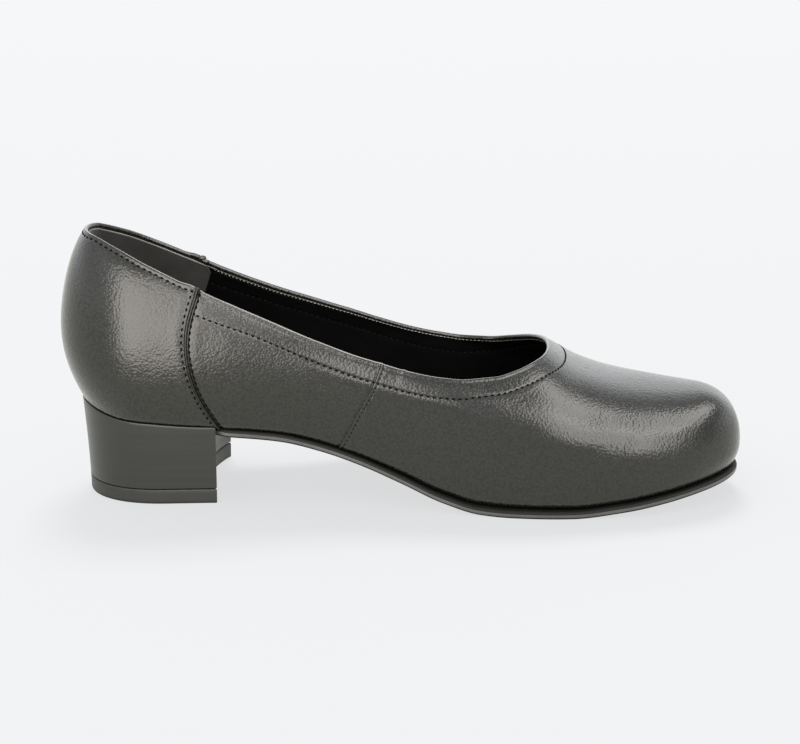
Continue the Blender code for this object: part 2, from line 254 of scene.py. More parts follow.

# Edge of the outsole: inset from its outline and drop from its top, and the steps painted lighter as a
# highlight line on its side
SOLE_PROFILE = (
    (3.0, 0.0), (1.05, 0.0), (0.8, 0.06), (0.45, 0.35), (0.12, 0.72), (0.0, 1.05), (0.0, 1.6), (0.0, 2.15),
    (0.12, 2.5), (0.35, 2.72), (0.7, 2.8), (2.3, 2.8), (2.6, 2.4), (4.0, 2.4),
)
SOLE_HIGHLIGHT_STEPS = (5, 6)
SOLE_POINTS = 640
SOLE_REAR_POINTS = 33
TREAD_POINTS = 29
TREAD_START = 140.0
TREAD_END = 240.0
TREAD_PITCH = 4.4
TREAD_MARGIN = 8.0
TREAD_WAVE = 1.3
TREAD_WAVE_RUN = 3.2
TREAD_PROFILE = ((-1.3, 2.3), (-1.0, 2.8), (1.0, 2.8), (1.3, 2.3))

# Heel: points of its plan, small steps by its two front corners, its rings as share and lip, and how many
# rings at its top are painted black as the shade under the upper
HEEL_SIDE_POINTS = 44
HEEL_BREAST_POINTS = 25
HEEL_CORNER = (0.004, 0.008, 0.012, 0.018, 0.024)
HEEL_CORNER_ROUNDS = 10
HEEL_CORNER_TURN = 0.03
HEEL_CORNER_SHARE = 0.02
HEEL_END_SHARE = 0.85
HEEL_STEPS = (
    (0.0, 0.3), (0.008, 0.08), (0.02, 0.0), (0.05, 0.0), (0.12, 0.0), (0.2, 0.0), (0.3, 0.0), (0.4, 0.0),
    (0.5, 0.0), (0.6, 0.0), (0.7, 0.0), (0.8, 0.0), (0.88, 0.0), (0.94, 0.0), (0.975, 0.0), (0.985, 0.15),
    (1.0, 0.45),
)
HEEL_SHADE_RINGS = 2
LIFT_STEPS = (
    (0.0, 0.45), (0.03, 0.15), (0.09, 0.0), (0.3, 0.0), (0.5, 0.0), (0.7, 0.0), (0.93, 0.0), (0.98, 0.1),
    (1.0, 0.35),
)

# Sewing
SEAM_FOOT = 2.4
SEAM_FIRST_ROW = 4
BAND_STITCH_START = 2.8
COUNTER_STITCH_END = -1.5
INNER_STITCH_START = 3.5
SIDE_PITCH = 1.9
SIDE_LENGTH = 1.1
SIDE_THICKNESS = 0.5
THREAD_LIFT = -0.05
INNER_DROP = 1.3
INNER_PITCH = 1.5
INNER_LENGTH = 0.9
INNER_THICKNESS = 0.36
LINING_LENGTH = 1.5
LINING_THICKNESS = 0.34

# Floor and room round the shoe
FLOOR_HALF = 4.0
FLOOR_ROUGHNESS = 0.9
FLOOR_TINT = (0.985, 0.99, 1.0, 1.0)
ROOM_EDGE = 0.3
WALL_TOP = 0.55
WALL_FULL = 0.35
ROOM_TINT = (0.96, 0.98, 1.0, 1.0)

# Camera that took the photo's view
CAMERA_PLACE = (-0.6, -1096.7, 398.6)
CAMERA_TARGET = (-0.6, -3.0, 43.2)
CAMERA_LENS = 138.84
CAMERA_SENSOR = 36.0


def natural_spline(rows):
    """A smooth curve through rows of place and value, straight at both ends."""
    knots, values = np.array(rows, float).T
    count = len(knots)
    step = np.diff(knots)
    matrix = np.eye(count)
    right = np.zeros(count)
    for i in range(1, count - 1):
        matrix[i, i - 1:i + 2] = step[i - 1], 2 * (step[i - 1] + step[i]), step[i]
        rise = (values[i + 1] - values[i]) / step[i] - (values[i] - values[i - 1]) / step[i - 1]
        right[i] = 6 * rise
    bend = np.linalg.solve(matrix, right)

    def curve(place):
        place = np.clip(place, knots[0], knots[-1])
        i = np.clip(np.searchsorted(knots, place) - 1, 0, count - 2)
        before = (place - knots[i]) / step[i]
        after = 1 - before
        line = after * values[i] + before * values[i + 1]
        sag = (after ** 3 - after) * bend[i] + (before ** 3 - before) * bend[i + 1]
        return line + sag * step[i] ** 2 / 6

    return curve


def steady_spline(rows):
    """A smooth curve through the rows that never overshoots, so that level stretches stay level."""
    knots, values = np.array(rows, float).T
    step = np.diff(knots)
    slope = np.diff(values) / step
    tangent = np.zeros(len(knots))
    tangent[0] = slope[0]
    tangent[-1] = slope[-1]
    for i in range(1, len(knots) - 1):
        if slope[i - 1] * slope[i] > 0:
            tangent[i] = 2 * slope[i - 1] * slope[i] / (slope[i - 1] + slope[i])

    def curve(place):
        place = np.clip(place, knots[0], knots[-1])
        i = np.clip(np.searchsorted(knots, place) - 1, 0, len(knots) - 2)
        share = (place - knots[i]) / step[i]
        keep = (1 + 2 * share) * (1 - share) ** 2 * values[i] + share ** 2 * (3 - 2 * share) * values[i + 1]
        turn = share * (1 - share) ** 2 * tangent[i] - share ** 2 * (1 - share) * tangent[i + 1]
        return keep + turn * step[i]

    return curve


SECTION = {}
for column, column_name in enumerate(SECTION_NAMES[1:], start=1):
    SECTION[column_name] = natural_spline([(row[0], row[column]) for row in SECTIONS])
under = steady_spline(UNDER_LINE)
collar_height = steady_spline(COLLAR_LINE)
sole_inset = steady_spline(SOLE_INSET)
collar_tilt = steady_spline(TILT_LINE)
counter_seam = natural_spline(COUNTER_SEAM)
side_seam = natural_spline(SIDE_SEAM)


def smooth(value, start, end):
    """Rises softly from nought at start to one at end."""
    share = np.clip((value - start) / (end - start), 0, 1)
    return share * share * (3 - 2 * share)


def bump(value, width):
    """A soft bump of height one round nought."""
    return np.exp(-(value / width) ** 2)


def end_round(distance, length, power):
    """Falls from one to nought over the last stretch of a given length before an end."""
    share = np.clip(1 - distance / length, 0, 1)
    return (1 - share ** power) ** (1 / power)


def side_width(along, side):
    """Half width at the widest level on the medial (-1) or lateral (+1) side."""
    heel = end_round(along, HEEL_ROUND, HEEL_POWER)
    toe_length = np.where(np.asarray(side) < 0, MEDIAL_TOE_ROUND, LATERAL_TOE_ROUND)
    toe = end_round(LENGTH - along, toe_length, TOE_POWER)
    width = np.where(np.asarray(side) < 0, SECTION["medial"](along), SECTION["lateral"](along))
    return width * heel * toe


def top_height(along, across):
    """Height of the outer form above its widest level."""
    off = across - SECTION["swing"](along)
    width = side_width(along, np.sign(off))
    share = np.clip(np.abs(off) / np.maximum(width, LEAST_WIDTH), 0, 1)
    heel = end_round(along, CREST_HEEL_ROUND, CREST_HEEL_POWER)
    toe = end_round(LENGTH - along, CREST_TOE_ROUND, CREST_TOE_POWER)
    widest = SECTION["widest"](along)
    rise = (SECTION["crest"](along) - widest) * heel * toe
    power = SECTION["fullness"](along)
    return widest + rise * (1 - share ** power) ** (1 / power)


def outline(turn):
    """Plan of the widest level and its outward directions, from the heel round the medial side."""
    fine = np.array([turn - SMALL_TURN, turn, turn + SMALL_TURN])
    along = LENGTH * (1 - np.cos(fine)) / 2
    side = np.where(np.sin(fine) >= 0, -1.0, 1.0)
    across = SECTION["swing"](along) + side * side_width(along, side)
    plan = np.stack([along, across], axis=-1)
    run = plan[2] - plan[0]
    out = np.stack([run[:, 1], -run[:, 0]], axis=-1)
    out /= np.linalg.norm(out, axis=1, keepdims=True)
    return plan[1], out


def lower_profile(plan, out):
    """Rings from the widest level down the wall, round the roll and in along the lasting margin."""
    along = plan[:, 0]
    lean = SECTION["lean"](along)
    top = SECTION["widest"](along)
    angle = np.zeros(len(along))
    for _ in range(ROLL_ROUNDS):
        drop = top - under(along) - ROLL * (1 - np.sin(angle))
        angle = np.arctan(2 * lean / drop)
    rings = []
    for share in np.arange(1, WALL_STEPS + 1) / WALL_STEPS:
        rings.append((lean * share ** 2, top - drop * share, share))
    for share in np.arange(1, ROLL_STEPS + 1) / ROLL_STEPS:
        bend = angle + (np.pi / 2 - angle) * share
        inset = lean + ROLL * (np.cos(angle) - np.cos(bend))
        rings.append((inset, top - drop - ROLL * (np.sin(bend) - np.sin(angle)), 1.0))
    rings.append((lean + ROLL * np.cos(angle) + LASTING, under(along), 1.0))
    points = []
    for inset, height, blend in rings:
        place = plan - out * inset[:, None]
        height = height + (under(place[:, 0]) - under(along)) * blend
        points.append(np.column_stack([place, height]))
    return points


def upper_profile(plan):
    """Rings from the widest level over the top to the collar."""
    aim_along = np.clip(plan[:, 0], HEEL_AIM, THROAT_AIM)
    aim = np.stack([aim_along, SECTION["swing"](aim_along)], axis=-1)
    shares = 1 - np.cos(np.linspace(0, np.pi / 2, SEARCH_STEPS))
    path = plan[None] + (aim - plan)[None] * shares[:, None, None]
    tilt = collar_tilt(path[..., 0]) * (path[..., 1] - SECTION["swing"](path[..., 0]))
    above = top_height(path[..., 0], path[..., 1]) - collar_height(path[..., 0]) + tilt
    first = np.argmax(above > 0, axis=0)
    pick = np.arange(len(plan))
    low = above[first - 1, pick]
    part = -low / (above[first, pick] - low)
    turn = (first - 1 + part) * (np.pi / 2) / (len(shares) - 1)
    points = []
    for share in np.arange(TOP_STEPS + 1) / TOP_STEPS:
        reach = 1 - np.cos(turn * share)
        place = plan + (aim - plan) * reach[:, None]
        points.append(np.column_stack([place, top_height(place[:, 0], place[:, 1])]))
    return points


@lru_cache(maxsize=None)
def form_lines():
    """Lines down the outer form from the collar to the lasting margin, and the distance down each."""
    turn = np.arange(FORM_LINES) * 2 * np.pi / FORM_LINES
    plan, out = outline(turn)
    rings = upper_profile(plan)[::-1] + lower_profile(plan, out)
    lines = np.stack(rings, axis=1)
    steps = np.linalg.norm(np.diff(lines, axis=1), axis=2)
    down = np.concatenate([np.zeros((FORM_LINES, 1)), np.cumsum(steps, axis=1)], axis=1)
    return plan, out, lines, down


@lru_cache(maxsize=None)
def centre():
    """Middle of the shoe's plan, which is the row frame's origin."""
    plan = form_lines()[0]
    middle = (plan.min(axis=0) + plan.max(axis=0)) / 2
    return np.append(middle, 0.0)


def form_rows(stops, wall_rows):
    """The outer form's lines cut at rows: set distances below the collar, then even rows to the margin."""
    plan, _, lines, down = form_lines()
    stops = np.array(stops)
    shares = np.arange(1, wall_rows + 1) / max(wall_rows, 1)
    rows = np.empty((FORM_LINES, len(stops) + wall_rows, 3))
    for i in range(FORM_LINES):
        drop = BAND_DROP * (1 - smooth(plan[i, 0], BREAST - LASTING, BREAST - LASTING + BAND_DROP_RUN))
        near = stops + drop * np.clip((stops - STITCH_IN) / (BAND - STITCH_IN), 0, 1)
        far = near[-1] + (down[i, -1] - near[-1]) * shares
        levels = np.concatenate([near, far])
        for axis in range(3):
            rows[i, :, axis] = np.interp(levels, down[i], lines[i, :, axis])
    depth = np.concatenate([stops, stops[-1] + NOMINAL_WALL * shares])
    return rows, depth


def seam_crossing(rows, arc, seam, medial):
    """Distance round each row at which a seam of the side view crosses it on one side."""
    count = len(rows) // 2
    order = np.arange(1, count) if medial else np.arange(len(rows) - 1, count, -1)
    off = rows[order, :, 0] - seam(rows[order, :, 2])
    found = []
    for row in range(rows.shape[1]):
        after = int(np.argmax(off[:, row] > 0))
        low, high = off[after - 1, row], off[after, row]
        part = -low / (high - low)
        before = arc[order[after - 1], row]
        found.append(before + part * (arc[order[after], row] - before))
    return np.array(found)


def round_rows(rows):
    """Distance round each row from the middle of the back."""
    closed = np.concatenate([rows, rows[:1]])
    steps = np.linalg.norm(np.diff(closed, axis=0), axis=2)
    return np.concatenate([np.zeros((1, rows.shape[1])), np.cumsum(steps, axis=0)])


def on_rows(rows, arc, places):
    """Smooth points on the rows at given distances round them."""
    turn = np.empty_like(places)
    count = np.arange(FORM_LINES + 1)
    for row in range(places.shape[0]):
        turn[row] = np.interp(places[row] % arc[-1, row], arc[:, row], count)
    first = np.floor(turn).astype(int)
    share = (turn - first)[..., None]
    pick = np.arange(places.shape[0])[:, None]
    before, start, end, after = (rows[(first + step) % FORM_LINES, pick] for step in (-1, 0, 1, 2))
    bend = 2 * before - 5 * start + 4 * end - after
    twist = 3 * (start - end) + after - before
    return start + 0.5 * share * (end - before + share * (bend + share * twist))


def grid_normals(points, closed):
    """Outward directions of a grid of rows, which runs down and round the medial side first."""
    down = np.gradient(points, axis=0)
    if closed:
        across = np.roll(points, -1, axis=1) - np.roll(points, 1, axis=1)
    else:
        across = np.gradient(points, axis=1)
    out = np.cross(across, -down)
    return out / np.linalg.norm(out, axis=2, keepdims=True)


@lru_cache(maxsize=None)
def upper_grid():
    """The outer form as a grid whose columns follow the seams, with the measures that the seams need."""
    rows, depth = form_rows(COLLAR_ROWS, WALL_ROWS)
    arc = round_rows(rows)
    whole = arc[-1]
    counter = seam_crossing(rows, arc, counter_seam, True)
    side = seam_crossing(rows, arc, side_seam, True)
    far_counter = seam_crossing(rows, arc, counter_seam, False)
    near = np.array(SEAM_COLUMNS)
    edge = near[-1]

    def stretch(start, end, count, fine_start, fine_end):
        """Places between two ends, close together by a seam and even elsewhere."""
        first = start + (edge if fine_start else 0.0)
        last = end - (edge if fine_end else 0.0)
        places = [start[:, None] + near[None, :-1]] if fine_start else []
        places.append(first[:, None] + (last - first)[:, None] * np.arange(count)[None] / count)
        if fine_end:
            places.append(end[:, None] - near[None, :0:-1])
        return places

    none = np.zeros_like(whole)
    places = stretch(none, counter, COUNTER_COLUMNS, False, True)
    places += stretch(counter, side, QUARTER_COLUMNS, True, True)
    places += stretch(side, far_counter, VAMP_COLUMNS, True, True)
    places += stretch(far_counter, whole, COUNTER_COLUMNS, True, False)
    places = np.concatenate(places, axis=1)
    points = on_rows(rows, arc, places)
    toe = arc[FORM_LINES // 2][:, None]
    from_counter = np.where(places < toe, places - counter[:, None], far_counter[:, None] - places)
    from_side = np.where(places < toe, places - side[:, None], LENGTH)
    depth = np.broadcast_to(depth[:, None], places.shape)
    return points, grid_normals(points, True), from_counter, from_side, depth


def segment_distance(along, height, crease):
    """Distance in side view from a crease's line."""
    start = np.array([crease["along_1"], crease["height_1"]])
    run = np.array([crease["along_2"], crease["height_2"]]) - start
    share = ((along - start[0]) * run[0] + (height - start[1]) * run[1]) / (run @ run)
    share = np.clip(share, 0, 1)
    return np.hypot(along - start[0] - share * run[0], height - start[1] - share * run[1])


def ridges(distance, rows):
    """Height of a row of soft ridges and valleys at a distance from their line."""
    return sum(rise * bump(distance - place, width) for place, width, rise in rows)


def leather_relief(points, out, from_counter, from_side, depth):
    """How far the leather stands proud of the outer form, in millimetres."""
    along = points[..., 0]
    height = points[..., 2]
    relief = ridges(from_counter, COUNTER_RIDGES) + ridges(from_side, SIDE_RIDGES)
    swell = BAND_SWELL * np.sin(np.pi * np.clip((depth - BAND_SWELL_TOP) / BAND_SWELL_DEPTH, 0, 1))
    relief += smooth(from_counter, *BAND_FADE) * (swell + ridges(depth, BAND_RIDGES))
    relief += (1 - smooth(from_counter, *EDGE_FADE)) * ridges(depth, EDGE_RIDGES)
    relief += LAP_RISE * smooth(from_side, 0.0, LAP_EDGE) * np.exp(-np.clip(from_side, 0, LENGTH) / LAP_RUN)
    join = smooth(from_side, *JOIN_START) * (1 - smooth(from_side, *JOIN_END))
    relief -= JOIN_DEPTH * (join * (1 - smooth(depth, *JOIN_FOOT)))
    for row in CREASES:
        crease = dict(zip(CREASE_NAMES, row))
        facing = smooth(out[..., 1] * crease["side"], *CREASE_FACING)
        relief += crease["rise"] * facing * bump(segment_distance(along, height, crease), crease["width"])
    waves = 0.0
    for pair in HIDE_WAVES:
        first, second = (np.sin(along / run + height / climb + start) for run, climb, start in pair)
        waves = waves + first * second
    relief += HIDE_DEPTH * waves * smooth(depth, BAND, BAND + HIDE_RUN)
    return relief


@lru_cache(maxsize=None)
def leather_grid():
    """The leather's outer face, with its seams, band, creases and the step of the collar at the counter."""
    points, out, from_counter, from_side, depth = upper_grid()
    relief = leather_relief(points, out, from_counter, from_side, depth)
    lift = HUMP_RISE * smooth(from_counter, *HUMP_START) * (1 - smooth(from_counter, *HUMP_END))
    lift += ridges(from_side, RIM_LIFTS)
    shaped = points + out * relief[..., None]
    shaped[..., 2] += lift * (1 - smooth(depth, *HUMP_FOOT))
    return shaped, grid_normals(shaped, True)


def to_row_frame(points):
    """Shoe millimetres to row frame metres."""
    return (np.asarray(points).reshape(-1, 3) - centre()) * MM


def grid_faces(rows, columns, closed, flip=False):
    """Four-sided faces of a grid of rows."""
    faces = []
    for row in range(rows - 1):
        for i in range(columns if closed else columns - 1):
            corners = (i, i + columns, (i + 1) % columns + columns, (i + 1) % columns)
            face = tuple(row * columns + corner for corner in corners)
            faces.append(face[::-1] if flip else face)
    return faces


def closed_tube(rings):
    """Faces of a stack of rings whose two ends are flat."""
    count = len(rings[0])
    last = (len(rings) - 1) * count
    faces = grid_faces(len(rings), count, True)
    return faces + [tuple(range(count)), tuple(range(last + count - 1, last - 1, -1))]


def make_piece(name, points, faces, materials, replaces=None, face_material=None):
    """A finished smooth piece that rides with the shoe."""
    mesh = bpy.data.meshes.new(name)
    mesh.from_pydata(to_row_frame(points).tolist(), [], faces)
    mesh.validate()
    mesh.polygons.foreach_set("use_smooth", [True] * len(mesh.polygons))
    for material in materials:
        mesh.materials.append(material)
    if face_material is not None:
        mesh.polygons.foreach_set("material_index", face_material)
    settle(bpy.data.objects.new(name, mesh), replaces)


def group(name):
    """The collection of a name, made when it is first asked for."""
    found = bpy.data.collections.get(name)
    if not found:
        found = bpy.data.collections.new(name)
        bpy.context.scene.collection.children.link(found)
    return found


def settle(piece, replaces=None):
    """Puts a piece in the shoe's collection, ties it to the shoe's body and hides the CAD part that it
    replaces.
    """
    group("shoe").objects.link(piece)
    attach(piece, "root")
    if replaces:
        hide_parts(replaces)


# Grain, tones and gloss of the finishes
GRAIN_WARP = 0.0007
PORE_SHARE = 0.45
TONE_SPAN = (0.3, 0.7)
GLOSS_SPREAD = 0.04
LEATHER_PORES = 2600.0
LEATHER_BUMP = 0.5
LEATHER_SHINE = 0.5
LEATHER_GLOSS_SPREAD = 0.03
# Shares of the leather colour on pebble tops and valleys: the lighter tops are grain tone and also painted
# specks of glint
PEBBLE_GLINT_TONES = (2.1, 0.5)
PEBBLE_GLINT_SPAN = (0.35, 0.95)
HEEL_CELLS = 2400.0
HEEL_PORES = 1500.0
HEEL_LINES = (14.0, 14.0, 520.0)
HEEL_GRAIN_SHARE = 0.25
HEEL_TONES = (0.88, 1.12)
HEEL_ROUGHNESS = (0.36, 0.42)
HEEL_BUMP = 0.3
HEEL_BUMP_DEPTH = 0.03
SUEDE_SHEEN = 0.08
SUEDE_SHEEN_ROUGHNESS = 0.6
FINISH_NAMES = ("colour", "spread", "roughness", "cells", "pores", "strength", "depth", "shine")
FINISHES = {
    "worn_fold": ("fold_highlight_colour", 0.25, 0.35, 1800.0, 2600.0, 0.4, 0.05, 0.5),
    "lining": ("lining_colour", 0.3, 0.75, 1500.0, 3000.0, 0.4, 0.08, 0.03),
    "cut_edge": ("edge_highlight_colour", 0.25, 0.5, 2200.0, 3000.0, 0.4, 0.06, 0.5),
    "suede": ("grip_colour", 0.75, 0.85, 260.0, 1500.0, 0.7, 0.2, 0.5),
    "sock": ("sock_colour", 0.3, 0.7, 1300.0, 2800.0, 0.45, 0.1, 0.25),
    "sole_rubber": ("sole_colour", 0.25, 0.65, 1800.0, 2400.0, 0.4, 0.06, 0.2),
    "sole_edge": ("sole_highlight_colour", 0.25, 0.4, 1800.0, 2400.0, 0.4, 0.04, 0.5),
    "lift_rubber": ("rubber_colour", 0.2, 0.55, 1500.0, 2200.0, 0.5, 0.08, 0.5),
    "thread": ("thread_colour", 0.2, 0.8, 4000.0, 6000.0, 0.3, 0.05, 0.05),
    "pale_thread": ("thread_glint_colour", 0.2, 0.5, 4000.0, 6000.0, 0.3, 0.05, 0.5),
    "dull_thread": ("dull_thread_colour", 0.2, 0.6, 4000.0, 6000.0, 0.3, 0.05, 0.1),
}


def new_material(name):
    """A material with its node tree and shader."""
    material = bpy.data.materials.new(name)
    material.use_nodes = True
    tree = material.node_tree
    return material, tree, tree.nodes["Principled BSDF"]


def add_node(tree, kind, values=None, **settings):
    """A node with its settings and the values of its inputs."""
    node = tree.nodes.new(kind)
    for key, value in settings.items():
        setattr(node, key, value)
    for key, value in (values or {}).items():
        node.inputs[key].default_value = value
    return node


def join_nodes(tree, rows):
    """Links of a tree: a node and its output, then a node and its input."""
    for source, output, target, entry in rows:
        tree.links.new(source.outputs[output], target.inputs[entry])


def add_sockets(tree, way, kind, *names):
    """Named sockets of one kind into or out of a node group."""
    for name in names:
        tree.interface.new_socket(name, in_out=way, socket_type="NodeSocket" + kind)


@lru_cache(maxsize=None)
def grain_group():
    """Rounded pebbles with fine pores: a height for the bump and a soft tone."""
    tree = bpy.data.node_groups.new("hide_grain", 'ShaderNodeTree')
    add_sockets(tree, 'INPUT', "Vector", "Vector")
    add_sockets(tree, 'INPUT', "Float", "Cells", "Pores")
    add_sockets(tree, 'OUTPUT', "Float", "Height", "Tone")
    start = add_node(tree, "NodeGroupInput")
    end = add_node(tree, "NodeGroupOutput")
    warp = add_node(tree, "ShaderNodeTexNoise", {"Scale": 420.0, "Detail": 2.0})
    mix = add_node(tree, "ShaderNodeVectorMath", {1: (GRAIN_WARP,) * 3}, operation='MULTIPLY_ADD')
    cells = add_node(tree, "ShaderNodeTexVoronoi", {"Smoothness": 0.6}, feature='SMOOTH_F1')
    pores = add_node(tree, "ShaderNodeTexNoise", {"Detail": 3.0, "Roughness": 0.6})
    cloud = add_node(tree, "ShaderNodeTexNoise", {"Scale": 70.0, "Detail": 4.0, "Roughness": 0.6})
    total = add_node(tree, "ShaderNodeMath", {1: PORE_SHARE}, operation='MULTIPLY_ADD')
    join_nodes(tree, (
        (start, "Vector", warp, "Vector"), (warp, "Color", mix, 0), (start, "Vector", mix, 2),
        (mix, "Vector", cells, "Vector"), (start, "Cells", cells, "Scale"),
        (start, "Vector", pores, "Vector"), (start, "Pores", pores, "Scale"),
        (start, "Vector", cloud, "Vector"), (pores, "Fac", total, 0), (cells, "Distance", total, 2),
        (total, "Value", end, "Height"), (cloud, "Fac", end, "Tone"),
    ))
    return tree


def place_grain(tree, cells, pores):
    """The grain group on Object coordinates, and the coordinates."""
    place = add_node(tree, "ShaderNodeTexCoord")
    grain = add_node(tree, "ShaderNodeGroup", node_tree=grain_group())
    grain.inputs["Cells"].default_value = cells
    grain.inputs["Pores"].default_value = pores
    join_nodes(tree, ((place, "Object", grain, "Vector"),))
    return place, grain


def add_bump(tree, shader, source, output, strength, distance):
    """A bump of a given depth in millimetres on the shader's normal, its cells standing up."""
    node = add_node(tree, "ShaderNodeBump", {"Strength": strength, "Distance": distance * MM}, invert=True)
    join_nodes(tree, ((source, output, node, "Height"), (node, "Normal", shader, "Normal")))


def two_tones(tree, shader, source, output, colour, shares, span=TONE_SPAN):
    """A base colour between two shares of a colour, over a span of a mask."""
    ramp = add_node(tree, "ShaderNodeValToRGB")
    for stop, share, place in zip(ramp.color_ramp.elements, shares, span):
        stop.position = place
        stop.color = (*(part * share for part in colour), 1.0)
    join_nodes(tree, ((source, output, ramp, "Fac"), (ramp, "Color", shader, "Base Color")))


def roughness_range(tree, shader, source, output, low, high):
    """A roughness between two values that follows a mask."""
    limits = {"From Min": TONE_SPAN[0], "From Max": TONE_SPAN[1], "To Min": low, "To Max": high}
    node = add_node(tree, "ShaderNodeMapRange", limits)
    join_nodes(tree, ((source, output, node, "Value"), (node, "Result", shader, "Roughness")))


def finish(looks, name):
    """The material of a name in the table of finishes, made when it is first asked for."""
    found = bpy.data.materials.get(name)
    if found:
        return found
    row = dict(zip(FINISH_NAMES, FINISHES[name]))
    material, tree, shader = new_material(name)
    _, grain = place_grain(tree, row["cells"], row["pores"])
    shares = (1 - row["spread"], 1 + row["spread"])
    two_tones(tree, shader, grain, "Tone", getattr(looks, row["colour"]), shares)
    low = row["roughness"] - GLOSS_SPREAD
    roughness_range(tree, shader, grain, "Tone", low, row["roughness"] + GLOSS_SPREAD)
    add_bump(tree, shader, grain, "Height", row["strength"], row["depth"])
    shader.inputs["Specular IOR Level"].default_value = row["shine"]
    return material


def leather_material(looks):
    """Black smooth leather with a fine pebbled grain, painted lighter on the pebbles partly as grain tone and
    partly as specks of glint, and a satin finish.
    """
    material, tree, shader = new_material("black_nappa")
    _, grain = place_grain(tree, looks.grain_cells, LEATHER_PORES)
    two_tones(tree, shader, grain, "Height", looks.leather_colour, PEBBLE_GLINT_TONES, PEBBLE_GLINT_SPAN)
    low = looks.leather_roughness - LEATHER_GLOSS_SPREAD
    roughness_range(tree, shader, grain, "Tone", low, looks.leather_roughness + LEATHER_GLOSS_SPREAD)
    add_bump(tree, shader, grain, "Height", LEATHER_BUMP, looks.grain_depth)
    shader.inputs["Specular IOR Level"].default_value = LEATHER_SHINE
    return material


def heel_material(looks):
    """Satin heel covering with faint level lines like a stacked heel."""
    material, tree, shader = new_material("stacked_heel")
    place, grain = place_grain(tree, HEEL_CELLS, HEEL_PORES)
    squash = add_node(tree, "ShaderNodeMapping", {"Scale": HEEL_LINES})
    lines = add_node(tree, "ShaderNodeTexNoise", {"Scale": 1.0, "Detail": 3.0, "Roughness": 0.7})
    both = add_node(tree, "ShaderNodeMath", {1: HEEL_GRAIN_SHARE}, operation='MULTIPLY_ADD')
    join_nodes(tree, (
        (place, "Object", squash, "Vector"), (squash, "Vector", lines, "Vector"),
        (grain, "Height", both, 0), (lines, "Fac", both, 2),
    ))
    two_tones(tree, shader, lines, "Fac", looks.heel_colour, HEEL_TONES)
    roughness_range(tree, shader, lines, "Fac", *HEEL_ROUGHNESS)
    add_bump(tree, shader, both, "Value", HEEL_BUMP, HEEL_BUMP_DEPTH)
    return material


# Geometry Nodes that sew
@lru_cache(maxsize=None)
def stitch_tree():
    """Stitches laid end to end along lines: named length, pitch and thickness."""
    tree = bpy.data.node_groups.new("stitch_row", 'GeometryNodeTree')
    add_sockets(tree, 'INPUT', "Geometry", "Geometry")
    add_sockets(tree, 'INPUT', "Float", "Pitch", "Length", "Thickness")
    add_sockets(tree, 'INPUT', "Material", "Thread")
    add_sockets(tree, 'OUTPUT', "Geometry", "Geometry")
    start = add_node(tree, "NodeGroupInput")
    end = add_node(tree, "NodeGroupOutput")
    curve = add_node(tree, "GeometryNodeMeshToCurve")
    steps = add_node(tree, "GeometryNodeResampleCurve", mode='LENGTH')
    tangent = add_node(tree, "GeometryNodeInputTangent")
    turn = add_node(tree, "FunctionNodeAlignRotationToVector", axis='X')
    bead = add_node(tree, "GeometryNodeMeshUVSphere", {"Segments": 8, "Rings": 6, "Radius": 0.5})
    size = add_node(tree, "ShaderNodeCombineXYZ")
    sewn = add_node(tree, "GeometryNodeInstanceOnPoints")
    real = add_node(tree, "GeometryNodeRealizeInstances")
    soft = add_node(tree, "GeometryNodeSetShadeSmooth")
    paint = add_node(tree, "GeometryNodeSetMaterial")
    join_nodes(tree, (
        (start, "Geometry", curve, "Mesh"), (curve, "Curve", steps, "Curve"),
        (start, "Pitch", steps, "Length"), (tangent, "Tangent", turn, "Vector"), (start, "Length", size, "X"),
        (start, "Thickness", size, "Y"), (start, "Thickness", size, "Z"),
        (steps, "Curve", sewn, "Points"), (bead, "Mesh", sewn, "Instance"),
        (turn, "Rotation", sewn, "Rotation"), (size, "Vector", sewn, "Scale"),
        (sewn, "Instances", real, "Geometry"), (real, "Geometry", soft, "Geometry"),
        (soft, "Geometry", paint, "Geometry"), (start, "Thread", paint, "Material"),
        (paint, "Geometry", end, "Geometry"),
    ))
    return tree


def sew(name, lines, pitch, length, thickness, thread):
    """Stitches along lines of shoe points, as one plain mesh."""
    points = []
    edges = []
    for line in lines:
        base = len(points)
        points += to_row_frame(line).tolist()
        edges += [(base + i, base + i + 1) for i in range(len(line) - 1)]
    guide = bpy.data.meshes.new(name + "_guide")
    guide.from_pydata(points, edges, [])
    carrier = bpy.data.objects.new(name + "_guide", guide)
    bpy.context.scene.collection.objects.link(carrier)
    tree = stitch_tree()
    modifier = carrier.modifiers.new("sewing", 'NODES')
    modifier.node_group = tree
    wanted = {"Pitch": pitch * MM, "Length": length * MM, "Thickness": thickness * MM, "Thread": thread}
    for item in tree.interface.items_tree:
        if item.in_out == 'INPUT' and item.name in wanted:
            modifier[item.identifier] = wanted[item.name]
    depsgraph = bpy.context.evaluated_depsgraph_get()
    mesh = bpy.data.meshes.new_from_object(carrier.evaluated_get(depsgraph))
    bpy.data.objects.remove(carrier)
    mesh.name = name
    settle(bpy.data.objects.new(name, mesh))


# Upper, lining and heel grip
def rim_rise(outer, out):
    """Directions up the leather at the collar, square to its outward directions."""
    rise = outer[0] - outer[1]
    rise = rise - out[0] * np.sum(rise * out[0], axis=1, keepdims=True)
    return rise / np.linalg.norm(rise, axis=1, keepdims=True)


